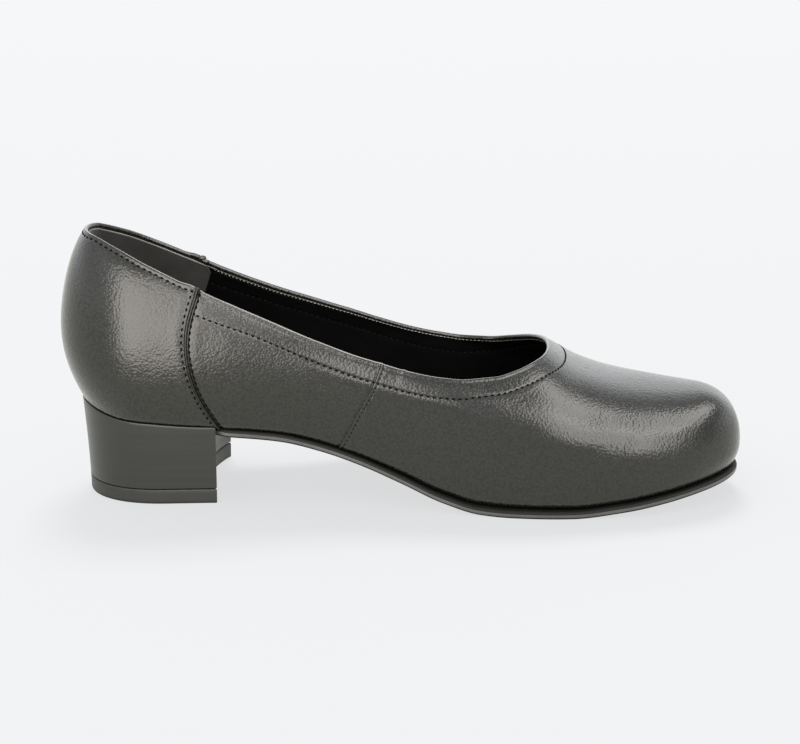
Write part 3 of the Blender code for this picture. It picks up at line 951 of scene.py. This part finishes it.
def build_leather(looks):
    """The leather of the upper: outer face, folded collar and thin inner face, closed at the margin."""
    outer, out = leather_grid()
    plain, plain_out = upper_grid()[:2]
    rise = rim_rise(outer, out)
    last_row = len(outer) - 1
    turn_row = last_row - MARGIN_ROWS
    inner_rows = [*range(last_row, turn_row, -MARGIN_STEP), *range(turn_row, INNER_FIRST, -INNER_STEP)]
    inner_rows.append(INNER_FIRST)
    rings = [plain[row] - plain_out[row] * LEATHER_THICK for row in inner_rows]
    rings += [outer[0] - out[0] * 2 * RIM_ROUND - rise * drop for drop in FOLD_DROPS]
    fold = len(rings)
    middle = outer[0] - out[0] * RIM_ROUND
    for angle in np.linspace(np.pi, 0, FOLD_STEPS)[:-1]:
        rings.append(middle + RIM_ROUND * (out[0] * np.cos(angle) + rise * np.sin(angle)))
    rings += list(outer)
    columns = outer.shape[1]
    faces = grid_faces(len(rings), columns, True)
    last = (len(rings) - 1) * columns
    for i in range(columns):
        after = (i + 1) % columns
        faces.append((last + i, i, after, last + after))
    # Faces on the top of the fold take a light paint that stands for the highlight line along the collar
    face_material = np.zeros(len(faces), int)
    highlight_start, highlight_end = FOLD_HIGHLIGHT
    face_material[(fold + highlight_start) * columns:(fold + highlight_end) * columns] = 1
    materials = [leather_material(looks), finish(looks, "worn_fold")]
    make_piece("upper_leather", np.concatenate(rings), faces, materials, "upper", face_material)


def layer(points, out, front, back):
    """A thin layer under the outer form: back face up, over its top edge and down its front face."""
    rings = [points[row] - out[row] * back for row in range(len(points) - 1, -1, -1)]
    rise = points[0] - points[1]
    rise /= np.linalg.norm(rise, axis=1, keepdims=True)
    half = (front - back) / 2
    middle = points[0] - out[0] * (front + back) / 2
    for angle in np.linspace(0, np.pi, EDGE_STEPS + 1)[1:-1]:
        rings.append(middle + EDGE_ROUND * rise * np.sin(angle) + out[0] * half * np.cos(angle))
    edge = len(rings)
    rings += [points[row] - out[row] * front for row in range(len(points))]
    # The rings round the top edge take a pale paint that stands for the highlight on it
    ring_material = np.zeros(len(rings) - 1, int)
    ring_material[edge - EDGE_STEPS:edge] = 1
    return rings, edge, ring_material


def build_lining(looks):
    """The lining inside the upper, from under the folded collar to the insole, with its cut edge painted pale
    as a highlight.
    """
    rows, _ = form_rows(LINING_ROWS, LINING_WALL_ROWS)
    arc = round_rows(rows)
    places = arc[-1][:, None] * np.arange(LINING_COLUMNS)[None] / LINING_COLUMNS
    points = on_rows(rows, arc, places)[:-LINING_SHORT]
    out = grid_normals(points, True)
    rings, edge, ring_material = layer(points, out, LINING_FRONT, LINING_BACK)
    for i, depth in enumerate(LINING_GROOVE * bump(np.array(LINING_ROWS) - BAND, LINING_GROOVE_WIDTH)):
        rings[edge + i] = rings[edge + i] + out[i] * depth
    faces = grid_faces(len(rings), LINING_COLUMNS, True)
    face_material = np.repeat(ring_material, LINING_COLUMNS)
    materials = [finish(looks, "lining"), finish(looks, "cut_edge")]
    make_piece("lining", np.concatenate(rings), faces, materials, None, face_material)


def build_grip(looks):
    """The suede heel grip inside the back, with its cut edge painted pale as a highlight."""
    stops = np.concatenate([GRIP_TOP_ROWS, np.linspace(GRIP_ROWS_START, GRIP_DEPTH, GRIP_ROWS)])
    rows, _ = form_rows(stops, 0)
    arc = round_rows(rows)
    count = GRIP_COLUMNS
    share = np.linspace(-1, 1, count)[None]
    bow = GRIP_REACH - GRIP_BOW * (stops / GRIP_DEPTH) ** 2
    bow -= GRIP_CORNER * bump(stops - GRIP_TOP, GRIP_CORNER_WIDTH)
    near_reach = seam_crossing(rows, arc, counter_seam, True) + bow
    far_reach = arc[-1] - seam_crossing(rows, arc, counter_seam, False) + bow
    places = np.where(share > 0, share * near_reach[:, None], share * far_reach[:, None])
    points = on_rows(rows, arc, places)
    out = grid_normals(points, False)
    rings, _, ring_material = layer(points, out, GRIP_FRONT, GRIP_BACK)
    total = len(rings)
    faces = grid_faces(total, count, False)
    face_material = np.repeat(ring_material, count - 1).tolist()
    for column in (0, count - 1):
        for row in range(total // 2 - 1):
            loop = [row, row + 1, total - 2 - row, total - 1 - row]
            face = tuple(place * count + column for place in loop)
            faces.append(face if column == 0 else face[::-1])
    last = (total - 1) * count
    for i in range(count - 1):
        faces.append((last + i, i, i + 1, last + i + 1))
    face_material += [1] * (len(faces) - len(face_material))
    suede = finish(looks, "suede")
    shader = suede.node_tree.nodes["Principled BSDF"]
    shader.inputs["Sheen Weight"].default_value = SUEDE_SHEEN
    shader.inputs["Sheen Roughness"].default_value = SUEDE_SHEEN_ROUGHNESS
    materials = [suede, finish(looks, "cut_edge")]
    make_piece("heel_grip", np.concatenate(rings), faces, materials, None, face_material)


# Sock on the insole
def build_sock(looks):
    """The sock that covers the insole, slightly crowned with a soft edge."""
    turn = np.linspace(SOCK_END, np.pi - SOCK_END, SOCK_ROWS)
    medial, medial_out = outline(turn)
    lateral, lateral_out = outline(2 * np.pi - turn)
    inset = (SECTION["lean"](medial[:, 0]) + INSOLE_INSET)[:, None]
    left = medial - medial_out * inset
    right = lateral - lateral_out * inset
    top_share = np.sin(np.linspace(-np.pi / 2, np.pi / 2, SOCK_TOP_POINTS))
    low_share = np.linspace(1, -1, SOCK_LOW_POINTS)
    edge_drop = SOCK_EDGE_DROP * smooth(np.abs(top_share), SOCK_EDGE_START, 1.0)
    crown = INSOLE_THICK - SOCK_CROWN * top_share ** 2 - edge_drop
    rings = []
    for start, end in zip(left, right):
        middle = (start + end) / 2
        half = (end - start) / 2
        top = middle + half * top_share[:, None]
        low = middle + half * low_share[:, None]
        top_ring = np.column_stack([top, under(top[:, 0]) + WALL + GAP + crown])
        low_ring = np.column_stack([low, under(low[:, 0]) + WALL + GAP])
        rings.append(np.concatenate([top_ring, low_ring]))
    materials = [finish(looks, "sock")]
    make_piece("sock", np.concatenate(rings), closed_tube(rings), materials, "insole")


# Outsole and its tread
def loop_out(loop):
    """Outward directions of a closed loop that runs round the medial side first."""
    run = np.roll(loop, -1, axis=0) - np.roll(loop, 1, axis=0)
    out = np.stack([run[:, 1], -run[:, 0]], axis=-1)
    return out / np.linalg.norm(out, axis=1, keepdims=True)


def sole_loop():
    """Edge of the outsole from the middle of the heel breast round the medial side and the toe."""
    plan, out = outline(np.arange(SOLE_POINTS) * 2 * np.pi / SOLE_POINTS)
    edge = plan - out * sole_inset(plan[:, 0])[:, None]
    first = int(np.argmax(edge[:SOLE_POINTS // 2, 0] > SOLE_SIDE_START))
    edge = edge[first:len(edge) - first + 1]
    across = np.linspace(edge[-1, 1], edge[0, 1], SOLE_REAR_POINTS)[1:-1]
    rear = np.column_stack([breast_line(across, HEEL_SEAT) + SOLE_REAR_GAP, across])
    half = len(rear) // 2
    return np.concatenate([rear[half:], edge, rear[:half]])


def build_sole(looks):
    """The outsole: sloped upper edge, a line on its side painted lighter as a highlight and a shallow recess
    for the tread.
    """
    loop = sole_loop()
    out = loop_out(loop)
    rings = []
    for inset, drop in SOLE_PROFILE:
        ring = loop - out * inset
        rings.append(np.column_stack([ring, under(ring[:, 0]) - GAP - drop]))
    count = len(loop)
    faces = grid_faces(len(rings), count, True)
    half = count // 2
    for start, flip in ((0, False), ((len(rings) - 1) * count, True)):
        ladder = [(start, start + 1, start + count - 1)]
        for i in range(1, half - 1):
            ladder.append((start + i, start + i + 1, start + count - i - 1, start + count - i))
        ladder.append((start + half - 1, start + half, start + half + 1))
        faces += [face[::-1] if flip else face for face in ladder]
    # The steps of the side's highlight line take a lighter paint
    ring_material = np.zeros(len(rings) - 1, int)
    ring_material[list(SOLE_HIGHLIGHT_STEPS)] = 1
    face_material = np.zeros(len(faces), int)
    face_material[:count * len(ring_material)] = np.repeat(ring_material, count)
    materials = [finish(looks, "sole_rubber"), finish(looks, "sole_edge")]
    make_piece("sole", np.concatenate(rings), faces, materials, "outsole", face_material)


def build_tread(looks):
    """Shallow waved ribs across the forepart of the sole."""
    points = []
    faces = []
    for along in np.arange(TREAD_START, TREAD_END, TREAD_PITCH):
        medial, lateral = (side_width(along, side) - TREAD_MARGIN for side in (-1, 1))
        middle = SECTION["swing"](along)
        across = np.linspace(middle - medial, middle + lateral, TREAD_POINTS)
        wave = along + TREAD_WAVE * np.sin(across / TREAD_WAVE_RUN)
        lines = []
        for step, drop in TREAD_PROFILE:
            lines.append(np.column_stack([wave + step, across, under(wave + step) - GAP - drop]))
        rings = np.stack(lines, axis=1)
        base = len(points)
        points += rings.reshape(-1, 3).tolist()
        faces += [tuple(base + i for i in face) for face in closed_tube(rings)]
    make_piece("tread_ribs", points, faces, [finish(looks, "sole_rubber")])


# Heel block and top piece
def heel_half(level):
    """Half width of the heel at a height."""
    return HEEL_HALF_FOOT + HEEL_HALF_LEAN * level / HEEL_SEAT


def breast_line(across, level):
    """Where the hollow breast of the heel stands: square across but for a small skew."""
    off = (across - SECTION["swing"](BREAST)) / heel_half(level)
    hollow = BREAST_HOLLOW * (1 - np.clip(np.abs(off), 0, 1) ** 2)
    return BREAST + BREAST_SKEW * (1 + off) / 2 - hollow


def heel_loop(level):
    """Plan of the heel with a height for each point: rear, medial side, hollow breast, lateral side."""
    corner = np.array(HEEL_CORNER)
    side_turn = np.linspace(0, np.pi / 2 - HEEL_CORNER_TURN, HEEL_SIDE_POINTS)
    turn = np.concatenate([side_turn, np.pi / 2 - corner[::-1], [np.pi / 2]])
    breast_share = np.linspace(HEEL_CORNER_SHARE, 1 - HEEL_CORNER_SHARE, HEEL_BREAST_POINTS)
    share = np.concatenate([corner / 2, breast_share, 1 - corner[::-1] / 2])
    sides = len(turn)
    parts = np.split(np.broadcast_to(level, 2 * sides - 1 + len(share)), [sides, sides + len(share)])
    loop = []
    for side, heights, turns in ((-1, parts[0], turn), (1, parts[2], turn[:0:-1])):
        rear = HEEL_REAR_FOOT - HEEL_REAR_LEAN * (heights / HEEL_SEAT) ** HEEL_LEAN_POWER
        along = rear + (BREAST - rear) * (1 - np.cos(turns))
        width = heel_half(heights) * end_round(along - rear, HEEL_BACK_ROUND, HEEL_BACK_POWER)
        across = SECTION["swing"](along) + side * width
        if side > 0:
            along = along + BREAST_SKEW * (along - rear) / (BREAST - rear)
        loop.append(np.column_stack([along, across]))
    across = SECTION["swing"](BREAST) + heel_half(parts[1]) * (2 * share - 1)
    breast = np.column_stack([breast_line(across, parts[1]), across])
    plan = np.concatenate([loop[0], breast, loop[1]])
    soft = np.r_[sides - len(corner) - 1:sides + len(corner)]
    soft = np.concatenate([soft, soft + len(corner) + len(share)])
    for _ in range(HEEL_CORNER_ROUNDS):
        plan[soft] = (plan[soft - 1] + 2 * plan[soft] + plan[(soft + 1) % len(plan)]) / 4
    return plan


def seat_height(plan):
    """Height of the upper's underside over points of the heel's plan."""
    edge, out, lines, _ = form_lines()
    low = lines[:, TOP_STEPS:]
    found = []
    for point in plan:
        i = int(np.argmin(np.sum((edge - point) ** 2, axis=1)))
        inset = -(low[i, :, :2] - edge[i]) @ out[i]
        off = -(point - edge[i]) @ out[i]
        found.append(np.interp(off, inset, low[i, :, 2]))
    return np.array(found)


def heel_rings(bottom, top, steps):
    """Rings of a heel piece between two heights, with soft lips at both ends."""
    rings = []
    for share, lip in steps:
        level = bottom + (top - bottom) * share
        plan = heel_loop(level)
        plan = plan - loop_out(plan) * lip
        rings.append(np.column_stack([plan, np.broadcast_to(level, len(plan))]))
    return rings


def close_rings(rings):
    """Points and faces of rings that are closed at each end by a smaller ring and a fan round its middle."""
    ends = []
    for ring in (rings[0], rings[-1]):
        middle = ring.mean(axis=0)
        ends.append((middle + (ring - middle) * HEEL_END_SHARE, middle[None]))
    rings = [ends[0][0], *rings, ends[1][0]]
    count = len(rings[0])
    faces = grid_faces(len(rings), count, True, True)
    low = len(rings) * count
    last = low - count
    for i in range(count):
        after = (i + 1) % count
        faces.append((i, low, after))
        faces.append((last + i, last + after, low + 1))
    return np.concatenate([*rings, ends[0][1], ends[1][1]]), faces


def build_heel(looks):
    """The heel block, its sides rising to the upper, and the rubber top piece under it."""
    top = np.full(len(heel_loop(0.0)), HEEL_SEAT)
    for _ in range(ROLL_ROUNDS):
        top = seat_height(heel_loop(top)) - GAP
    bottom = TOP_PIECE_THICK + GAP
    points, faces = close_rings(heel_rings(bottom, top, HEEL_STEPS))
    count = len(top)
    sunk = slice(-2 * count - 1, None)
    points[sunk, 2] = np.minimum(points[sunk, 2], seat_height(points[sunk, :2]) - GAP)
    face_material = np.zeros(len(faces), int)
    # The top rings are painted with the black sole rubber as the shade in the gap under the upper
    shade_start = len(HEEL_STEPS) - HEEL_SHADE_RINGS
    face_material[(shade_start + 1) * count:(len(HEEL_STEPS) + 1) * count] = 1
    covering = [heel_material(looks), finish(looks, "sole_rubber")]
    make_piece("heel", points, faces, covering, "heel_block", face_material)
    points, faces = close_rings(heel_rings(0.0, TOP_PIECE_THICK, LIFT_STEPS))
    make_piece("heel_lift", points, faces, [finish(looks, "lift_rubber")], "top_piece")


# Stitching
def build_stitches(looks):
    """Thread along the counter seams, the side seam, the collar of the counter and the band."""
    points, out = leather_grid()
    plain, _, from_counter, from_side, _ = upper_grid()
    thread_path = points + out * THREAD_LIFT
    clear = plain[..., 2] - under(plain[..., 0])
    columns = points.shape[1]
    half = columns // 2

    def seam_line(choices, distance, offset):
        """The thread down the column nearest to an offset from a seam."""
        column = min(choices, key=lambda i: abs(distance[0, i] - offset))
        rows = [row for row in range(SEAM_FIRST_ROW, len(points)) if clear[row, column] > SEAM_FOOT]
        return thread_path[rows, column]

    lines = []
    for offset in (-SEAM_STITCH, SEAM_STITCH):
        for choices in (range(half), range(half, columns)):
            lines.append(seam_line(choices, from_counter, offset))
    row = COLLAR_ROWS.index(BAND)
    lines.append(thread_path[row, from_counter[row] > BAND_STITCH_START])
    row = COLLAR_ROWS.index(STITCH_IN)
    rear = np.roll(np.arange(columns), columns - half - 1)
    lines.append(thread_path[row, rear[from_counter[row, rear] < COUNTER_STITCH_END]])
    thread = finish(looks, "thread")
    sew("stitches", lines, looks.stitch_pitch, looks.stitch_length, looks.stitch_thickness, thread)
    side_line = seam_line(range(columns), from_side, SEAM_STITCH)
    sew("side_stitches", [side_line], SIDE_PITCH, SIDE_LENGTH, SIDE_THICKNESS, thread)


def build_inner_stitches(looks):
    """Fine thread under the collar's fold inside, painted pale as glints, and a dark row on the lining behind
    the band.
    """
    points, out = leather_grid()
    plain, plain_out, from_counter, _, _ = upper_grid()
    front = from_counter[0] > INNER_STITCH_START
    fold = points[0] - out[0] * (2 * RIM_ROUND + THREAD_LIFT) - rim_rise(points, out) * INNER_DROP
    # The thread under the fold is painted pale for the glints of light on it
    pale = finish(looks, "pale_thread")
    sew("fold_stitches", [fold[front]], INNER_PITCH, INNER_LENGTH, INNER_THICKNESS, pale)
    row = COLLAR_ROWS.index(BAND)
    behind = plain[row] - plain_out[row] * (LINING_FRONT + THREAD_LIFT)
    dull = finish(looks, "dull_thread")
    pitch = looks.stitch_pitch
    sew("lining_stitches", [behind[front]], pitch, LINING_LENGTH, LINING_THICKNESS, dull)


# Stage
def build_floor(looks):
    """A plain pale floor that glows a little, so that shadows stay soft."""
    mesh = bpy.data.meshes.new("floor")
    corners = [(x * FLOOR_HALF, y * FLOOR_HALF, 0) for x, y in ((-1, -1), (1, -1), (1, 1), (-1, 1))]
    mesh.from_pydata(corners, [], [(0, 1, 2, 3)])
    floor = bpy.data.objects.new("floor", mesh)
    group("stage").objects.link(floor)
    material, _, shader = new_material("pale_floor")
    shader.inputs["Base Color"].default_value = (*looks.floor_colour, 1.0)
    shader.inputs["Roughness"].default_value = FLOOR_ROUGHNESS
    shader.inputs["Specular IOR Level"].default_value = 0.0
    shader.inputs["Emission Color"].default_value = FLOOR_TINT
    shader.inputs["Emission Strength"].default_value = looks.floor_glow
    mesh.materials.append(material)


# Soft boxes: place and the height that they aim at in metres, turn in degrees, size, glow, what they light
# and their tint
LIGHT_NAMES = ("name", "x", "y", "z", "aim", "roll", "width", "height", "glow", "lights", "tint")
LIGHTS = (
    ("main_box", 0.607, -0.822, 0.597, 0.0, -10.0, 0.64, 1.27, 5.7, "shoe", (1.0, 0.965, 0.93)),
    ("toe_box", 0.505, 0.0, 0.771, 0.0, 0.0, 0.82, 0.40, 5.6, "shoe", (1.0, 0.97, 0.935)),
    ("heel_card", -0.09, -0.135, 0.115, 0.1, 0.0, 0.112, 0.155, 6.0, "shoe", (1.0, 0.94, 0.89)),
    ("floor_card", 0.0, 0.0, 0.001, 1.0, 0.0, 3.00, 3.00, 0.345, "shoe", (1.0, 1.0, 0.8)),
    ("floor_box", 0.0, 2.1, 3.6, 0.0, 0.0, 1.30, 1.30, 40.0, "stage", (1.0, 1.0, 1.0)),
)


def build_lights():
    """Soft boxes aimed at a height over the middle, each for the shoe or for the floor under it."""
    for row in LIGHTS:
        light = dict(zip(LIGHT_NAMES, row))
        data = bpy.data.lights.new(light["name"], 'AREA')
        data.shape = 'RECTANGLE'
        data.size = light["width"]
        data.size_y = light["height"]
        data.energy = light["glow"] * math.pi * light["width"] * light["height"]
        data.color = light["tint"]
        lamp = bpy.data.objects.new(light["name"], data)
        place = Vector((light["x"], light["y"], light["z"]))
        lamp.location = place
        aim = Vector((0.0, 0.0, light["aim"]))
        roll = Quaternion((0.0, 0.0, 1.0), math.radians(light["roll"]))
        lamp.rotation_euler = ((place - aim).to_track_quat('Z', 'Y') @ roll).to_euler()
        lamp.visible_camera = False
        lamp.light_linking.receiver_collection = group(light["lights"])
        bpy.context.scene.collection.objects.link(lamp)


def build_world(looks):
    """A studio all round: a cool white wall behind the shoe and a room that is dimmer at the toe side."""
    world = bpy.data.worlds.new("studio")
    bpy.context.scene.world = world
    world.use_nodes = True
    tree = world.node_tree
    background = tree.nodes["Background"]
    place = add_node(tree, "ShaderNodeTexCoord")
    split = add_node(tree, "ShaderNodeSeparateXYZ")
    turn = {"From Min": -ROOM_EDGE, "From Max": ROOM_EDGE}
    rise = {"From Min": WALL_TOP, "From Max": WALL_FULL}
    room_light = {"To Min": looks.heel_side_glow, "To Max": looks.room_glow}
    rear = add_node(tree, "ShaderNodeMapRange", turn, interpolation_type='SMOOTHSTEP')
    low = add_node(tree, "ShaderNodeMapRange", rise, interpolation_type='SMOOTHSTEP')
    wall = add_node(tree, "ShaderNodeMath", operation='MULTIPLY')
    room = add_node(tree, "ShaderNodeMapRange", turn | room_light)
    glow = add_node(tree, "ShaderNodeMapRange", {"To Max": looks.wall_glow})
    join_nodes(tree, (
        (place, "Generated", split, "Vector"), (split, "Y", rear, "Value"), (split, "Z", low, "Value"),
        (split, "X", room, "Value"), (room, "Result", glow, "To Min"), (rear, "Result", wall, 0),
        (low, "Result", wall, 1), (wall, "Value", glow, "Value"), (glow, "Result", background, "Strength"),
    ))
    background.inputs["Color"].default_value = ROOM_TINT


def build_camera():
    """The camera at the photo's view."""
    data = bpy.data.cameras.new("camera")
    data.lens = CAMERA_LENS
    data.sensor_width = CAMERA_SENSOR
    camera = bpy.data.objects.new("camera", data)
    place = Vector(CAMERA_PLACE) * MM
    camera.location = place
    camera.rotation_euler = (place - Vector(CAMERA_TARGET) * MM).to_track_quat('Z', 'Y').to_euler()
    bpy.context.scene.collection.objects.link(camera)
    bpy.context.scene.camera = camera


class CourtShoeLooks(bpy.types.PropertyGroup):
    """Colours, finishes, stitches and glows that a user would change."""

    leather_colour: bpy.props.FloatVectorProperty(
        name="Leather", description="Colour of the upper's leather",
        subtype='COLOR', default=(0.005, 0.005, 0.0036))
    leather_roughness: bpy.props.FloatProperty(
        name="Leather roughness", description="How dull the leather's finish is",
        subtype='FACTOR', default=0.21)
    grain_cells: bpy.props.FloatProperty(
        name="Grain", description="Grain cells in a metre of leather", default=1080.0)
    grain_depth: bpy.props.FloatProperty(
        name="Grain depth", description="Depth of the grain in millimetres", default=0.2)
    # Light colour painted on the collar's fold as its highlight line
    fold_highlight_colour: bpy.props.FloatVectorProperty(
        name="Collar fold", description="Colour of the painted highlight line on the collar's fold", subtype='COLOR',
        default=(0.17, 0.165, 0.155))
    lining_colour: bpy.props.FloatVectorProperty(
        name="Lining", description="Colour of the lining",
        subtype='COLOR', default=(0.0015, 0.0015, 0.0015))
    # Pale colour painted on the linings' cut edges as the highlight on them
    edge_highlight_colour: bpy.props.FloatVectorProperty(
        name="Cut edge", description="Colour of the linings' cut edges",
        subtype='COLOR', default=(0.10, 0.097, 0.09))
    grip_colour: bpy.props.FloatVectorProperty(
        name="Heel grip", description="Colour of the suede heel grip",
        subtype='COLOR', default=(0.009, 0.009, 0.008))
    heel_colour: bpy.props.FloatVectorProperty(
        name="Heel", description="Colour of the heel block",
        subtype='COLOR', default=(0.0085, 0.0085, 0.0068))
    sock_colour: bpy.props.FloatVectorProperty(
        name="Sock", description="Colour of the sock on the insole",
        subtype='COLOR', default=(0.008, 0.008, 0.008))
    # Black of the outsole, also painted on the heel's top rings as the shade under the upper
    sole_colour: bpy.props.FloatVectorProperty(
        name="Sole", description="Colour of the outsole", subtype='COLOR', default=(0.004, 0.004, 0.0038))
    # Lighter colour painted on the outsole's side as its highlight line
    sole_highlight_colour: bpy.props.FloatVectorProperty(
        name="Sole edge", description="Colour of the line on the outsole's side", subtype='COLOR',
        default=(0.045, 0.045, 0.042))
    rubber_colour: bpy.props.FloatVectorProperty(
        name="Top piece", description="Colour of the top piece",
        subtype='COLOR', default=(0.0095, 0.0095, 0.0078))
    thread_colour: bpy.props.FloatVectorProperty(
        name="Thread", description="Colour of the stitching",
        subtype='COLOR', default=(0.0015, 0.0015, 0.0015))
    # Pale colour painted on the thread under the fold as its glints
    thread_glint_colour: bpy.props.FloatVectorProperty(
        name="Fold thread", description="Colour of the thread under the fold inside", subtype='COLOR',
        default=(0.30, 0.30, 0.28))
    dull_thread_colour: bpy.props.FloatVectorProperty(
        name="Lining thread", description="Colour of the thread on the lining", subtype='COLOR',
        default=(0.003, 0.003, 0.003))
    stitch_pitch: bpy.props.FloatProperty(
        name="Stitch pitch", description="Millimetres from stitch to stitch", default=2.35)
    stitch_length: bpy.props.FloatProperty(
        name="Stitch length", description="Length of a stitch in millimetres", default=1.45)
    stitch_thickness: bpy.props.FloatProperty(
        name="Thread thickness", description="Thickness of the thread in millimetres", default=0.8)
    floor_colour: bpy.props.FloatVectorProperty(
        name="Floor", description="Colour of the floor", subtype='COLOR', default=(0.10, 0.10, 0.1005))
    floor_glow: bpy.props.FloatProperty(
        name="Floor glow", description="Light that the floor gives", default=0.685)
    room_glow: bpy.props.FloatProperty(
        name="Room glow", description="Light of the room at the toe side", default=0.7)
    heel_side_glow: bpy.props.FloatProperty(
        name="Heel side glow", description="Light of the room at the heel side", default=1.6)
    wall_glow: bpy.props.FloatProperty(
        name="Wall glow", description="Light of the wall behind the shoe", default=1.75)


class COURTSHOE_OT_upper(bpy.types.Operator):
    """Make the leather upper"""

    bl_idname = "court_shoe.make_upper"
    bl_label = "Leather upper"

    def execute(self, context):
        build_leather(context.scene.court_shoe)
        return {'FINISHED'}


class COURTSHOE_OT_lining(bpy.types.Operator):
    """Make the lining and the heel grip"""

    bl_idname = "court_shoe.make_lining"
    bl_label = "Lining and heel grip"

    def execute(self, context):
        build_lining(context.scene.court_shoe)
        build_grip(context.scene.court_shoe)
        return {'FINISHED'}


class COURTSHOE_OT_sock(bpy.types.Operator):
    """Make the sock on the insole"""

    bl_idname = "court_shoe.make_sock"
    bl_label = "Sock"

    def execute(self, context):
        build_sock(context.scene.court_shoe)
        return {'FINISHED'}


class COURTSHOE_OT_sole(bpy.types.Operator):
    """Make the outsole and its tread"""

    bl_idname = "court_shoe.make_sole"
    bl_label = "Outsole"

    def execute(self, context):
        build_sole(context.scene.court_shoe)
        build_tread(context.scene.court_shoe)
        return {'FINISHED'}


class COURTSHOE_OT_heel(bpy.types.Operator):
    """Make the heel block and its top piece"""

    bl_idname = "court_shoe.make_heel"
    bl_label = "Heel"

    def execute(self, context):
        build_heel(context.scene.court_shoe)
        return {'FINISHED'}


class COURTSHOE_OT_stitches(bpy.types.Operator):
    """Sew the seams, the collar and the band"""

    bl_idname = "court_shoe.make_stitches"
    bl_label = "Stitching"

    def execute(self, context):
        build_stitches(context.scene.court_shoe)
        build_inner_stitches(context.scene.court_shoe)
        return {'FINISHED'}


class COURTSHOE_OT_stage(bpy.types.Operator):
    """Make the floor, the lights, the room and the camera"""

    bl_idname = "court_shoe.make_stage"
    bl_label = "Stage"

    def execute(self, context):
        looks = context.scene.court_shoe
        build_floor(looks)
        build_lights()
        build_world(looks)
        build_camera()
        context.scene.view_settings.view_transform = 'Standard'
        return {'FINISHED'}


class COURTSHOE_PT_looks(bpy.types.Panel):
    """Sidebar list of the shoe's looks and the steps that make it"""

    bl_idname = "COURTSHOE_PT_looks"
    bl_label = "Court shoe"
    bl_space_type = 'VIEW_3D'
    bl_region_type = 'UI'
    bl_category = "Court shoe"

    def draw(self, context):
        looks = context.scene.court_shoe
        for name in looks.bl_rna.properties.keys():
            if name not in ("rna_type", "name"):
                self.layout.prop(looks, name)
        for step in STEPS:
            self.layout.operator(step.bl_idname)


STEPS = (COURTSHOE_OT_upper, COURTSHOE_OT_lining, COURTSHOE_OT_sock, COURTSHOE_OT_sole, COURTSHOE_OT_heel,
         COURTSHOE_OT_stitches, COURTSHOE_OT_stage)
CLASSES = (CourtShoeLooks, *STEPS, COURTSHOE_PT_looks)


def register():
    """Adds the classes and the scene's settings."""
    for item in CLASSES:
        bpy.utils.register_class(item)
    bpy.types.Scene.court_shoe = bpy.props.PointerProperty(type=CourtShoeLooks)


def unregister():
    """Takes the settings and the classes away."""
    del bpy.types.Scene.court_shoe
    for item in reversed(CLASSES):
        bpy.utils.unregister_class(item)


def main():
    """Registers the add-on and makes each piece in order."""
    register()
    bpy.ops.court_shoe.make_upper()
    bpy.ops.court_shoe.make_lining()
    bpy.ops.court_shoe.make_sock()
    bpy.ops.court_shoe.make_sole()
    bpy.ops.court_shoe.make_heel()
    bpy.ops.court_shoe.make_stitches()
    bpy.ops.court_shoe.make_stage()


if __name__ == "__main__":
    main()
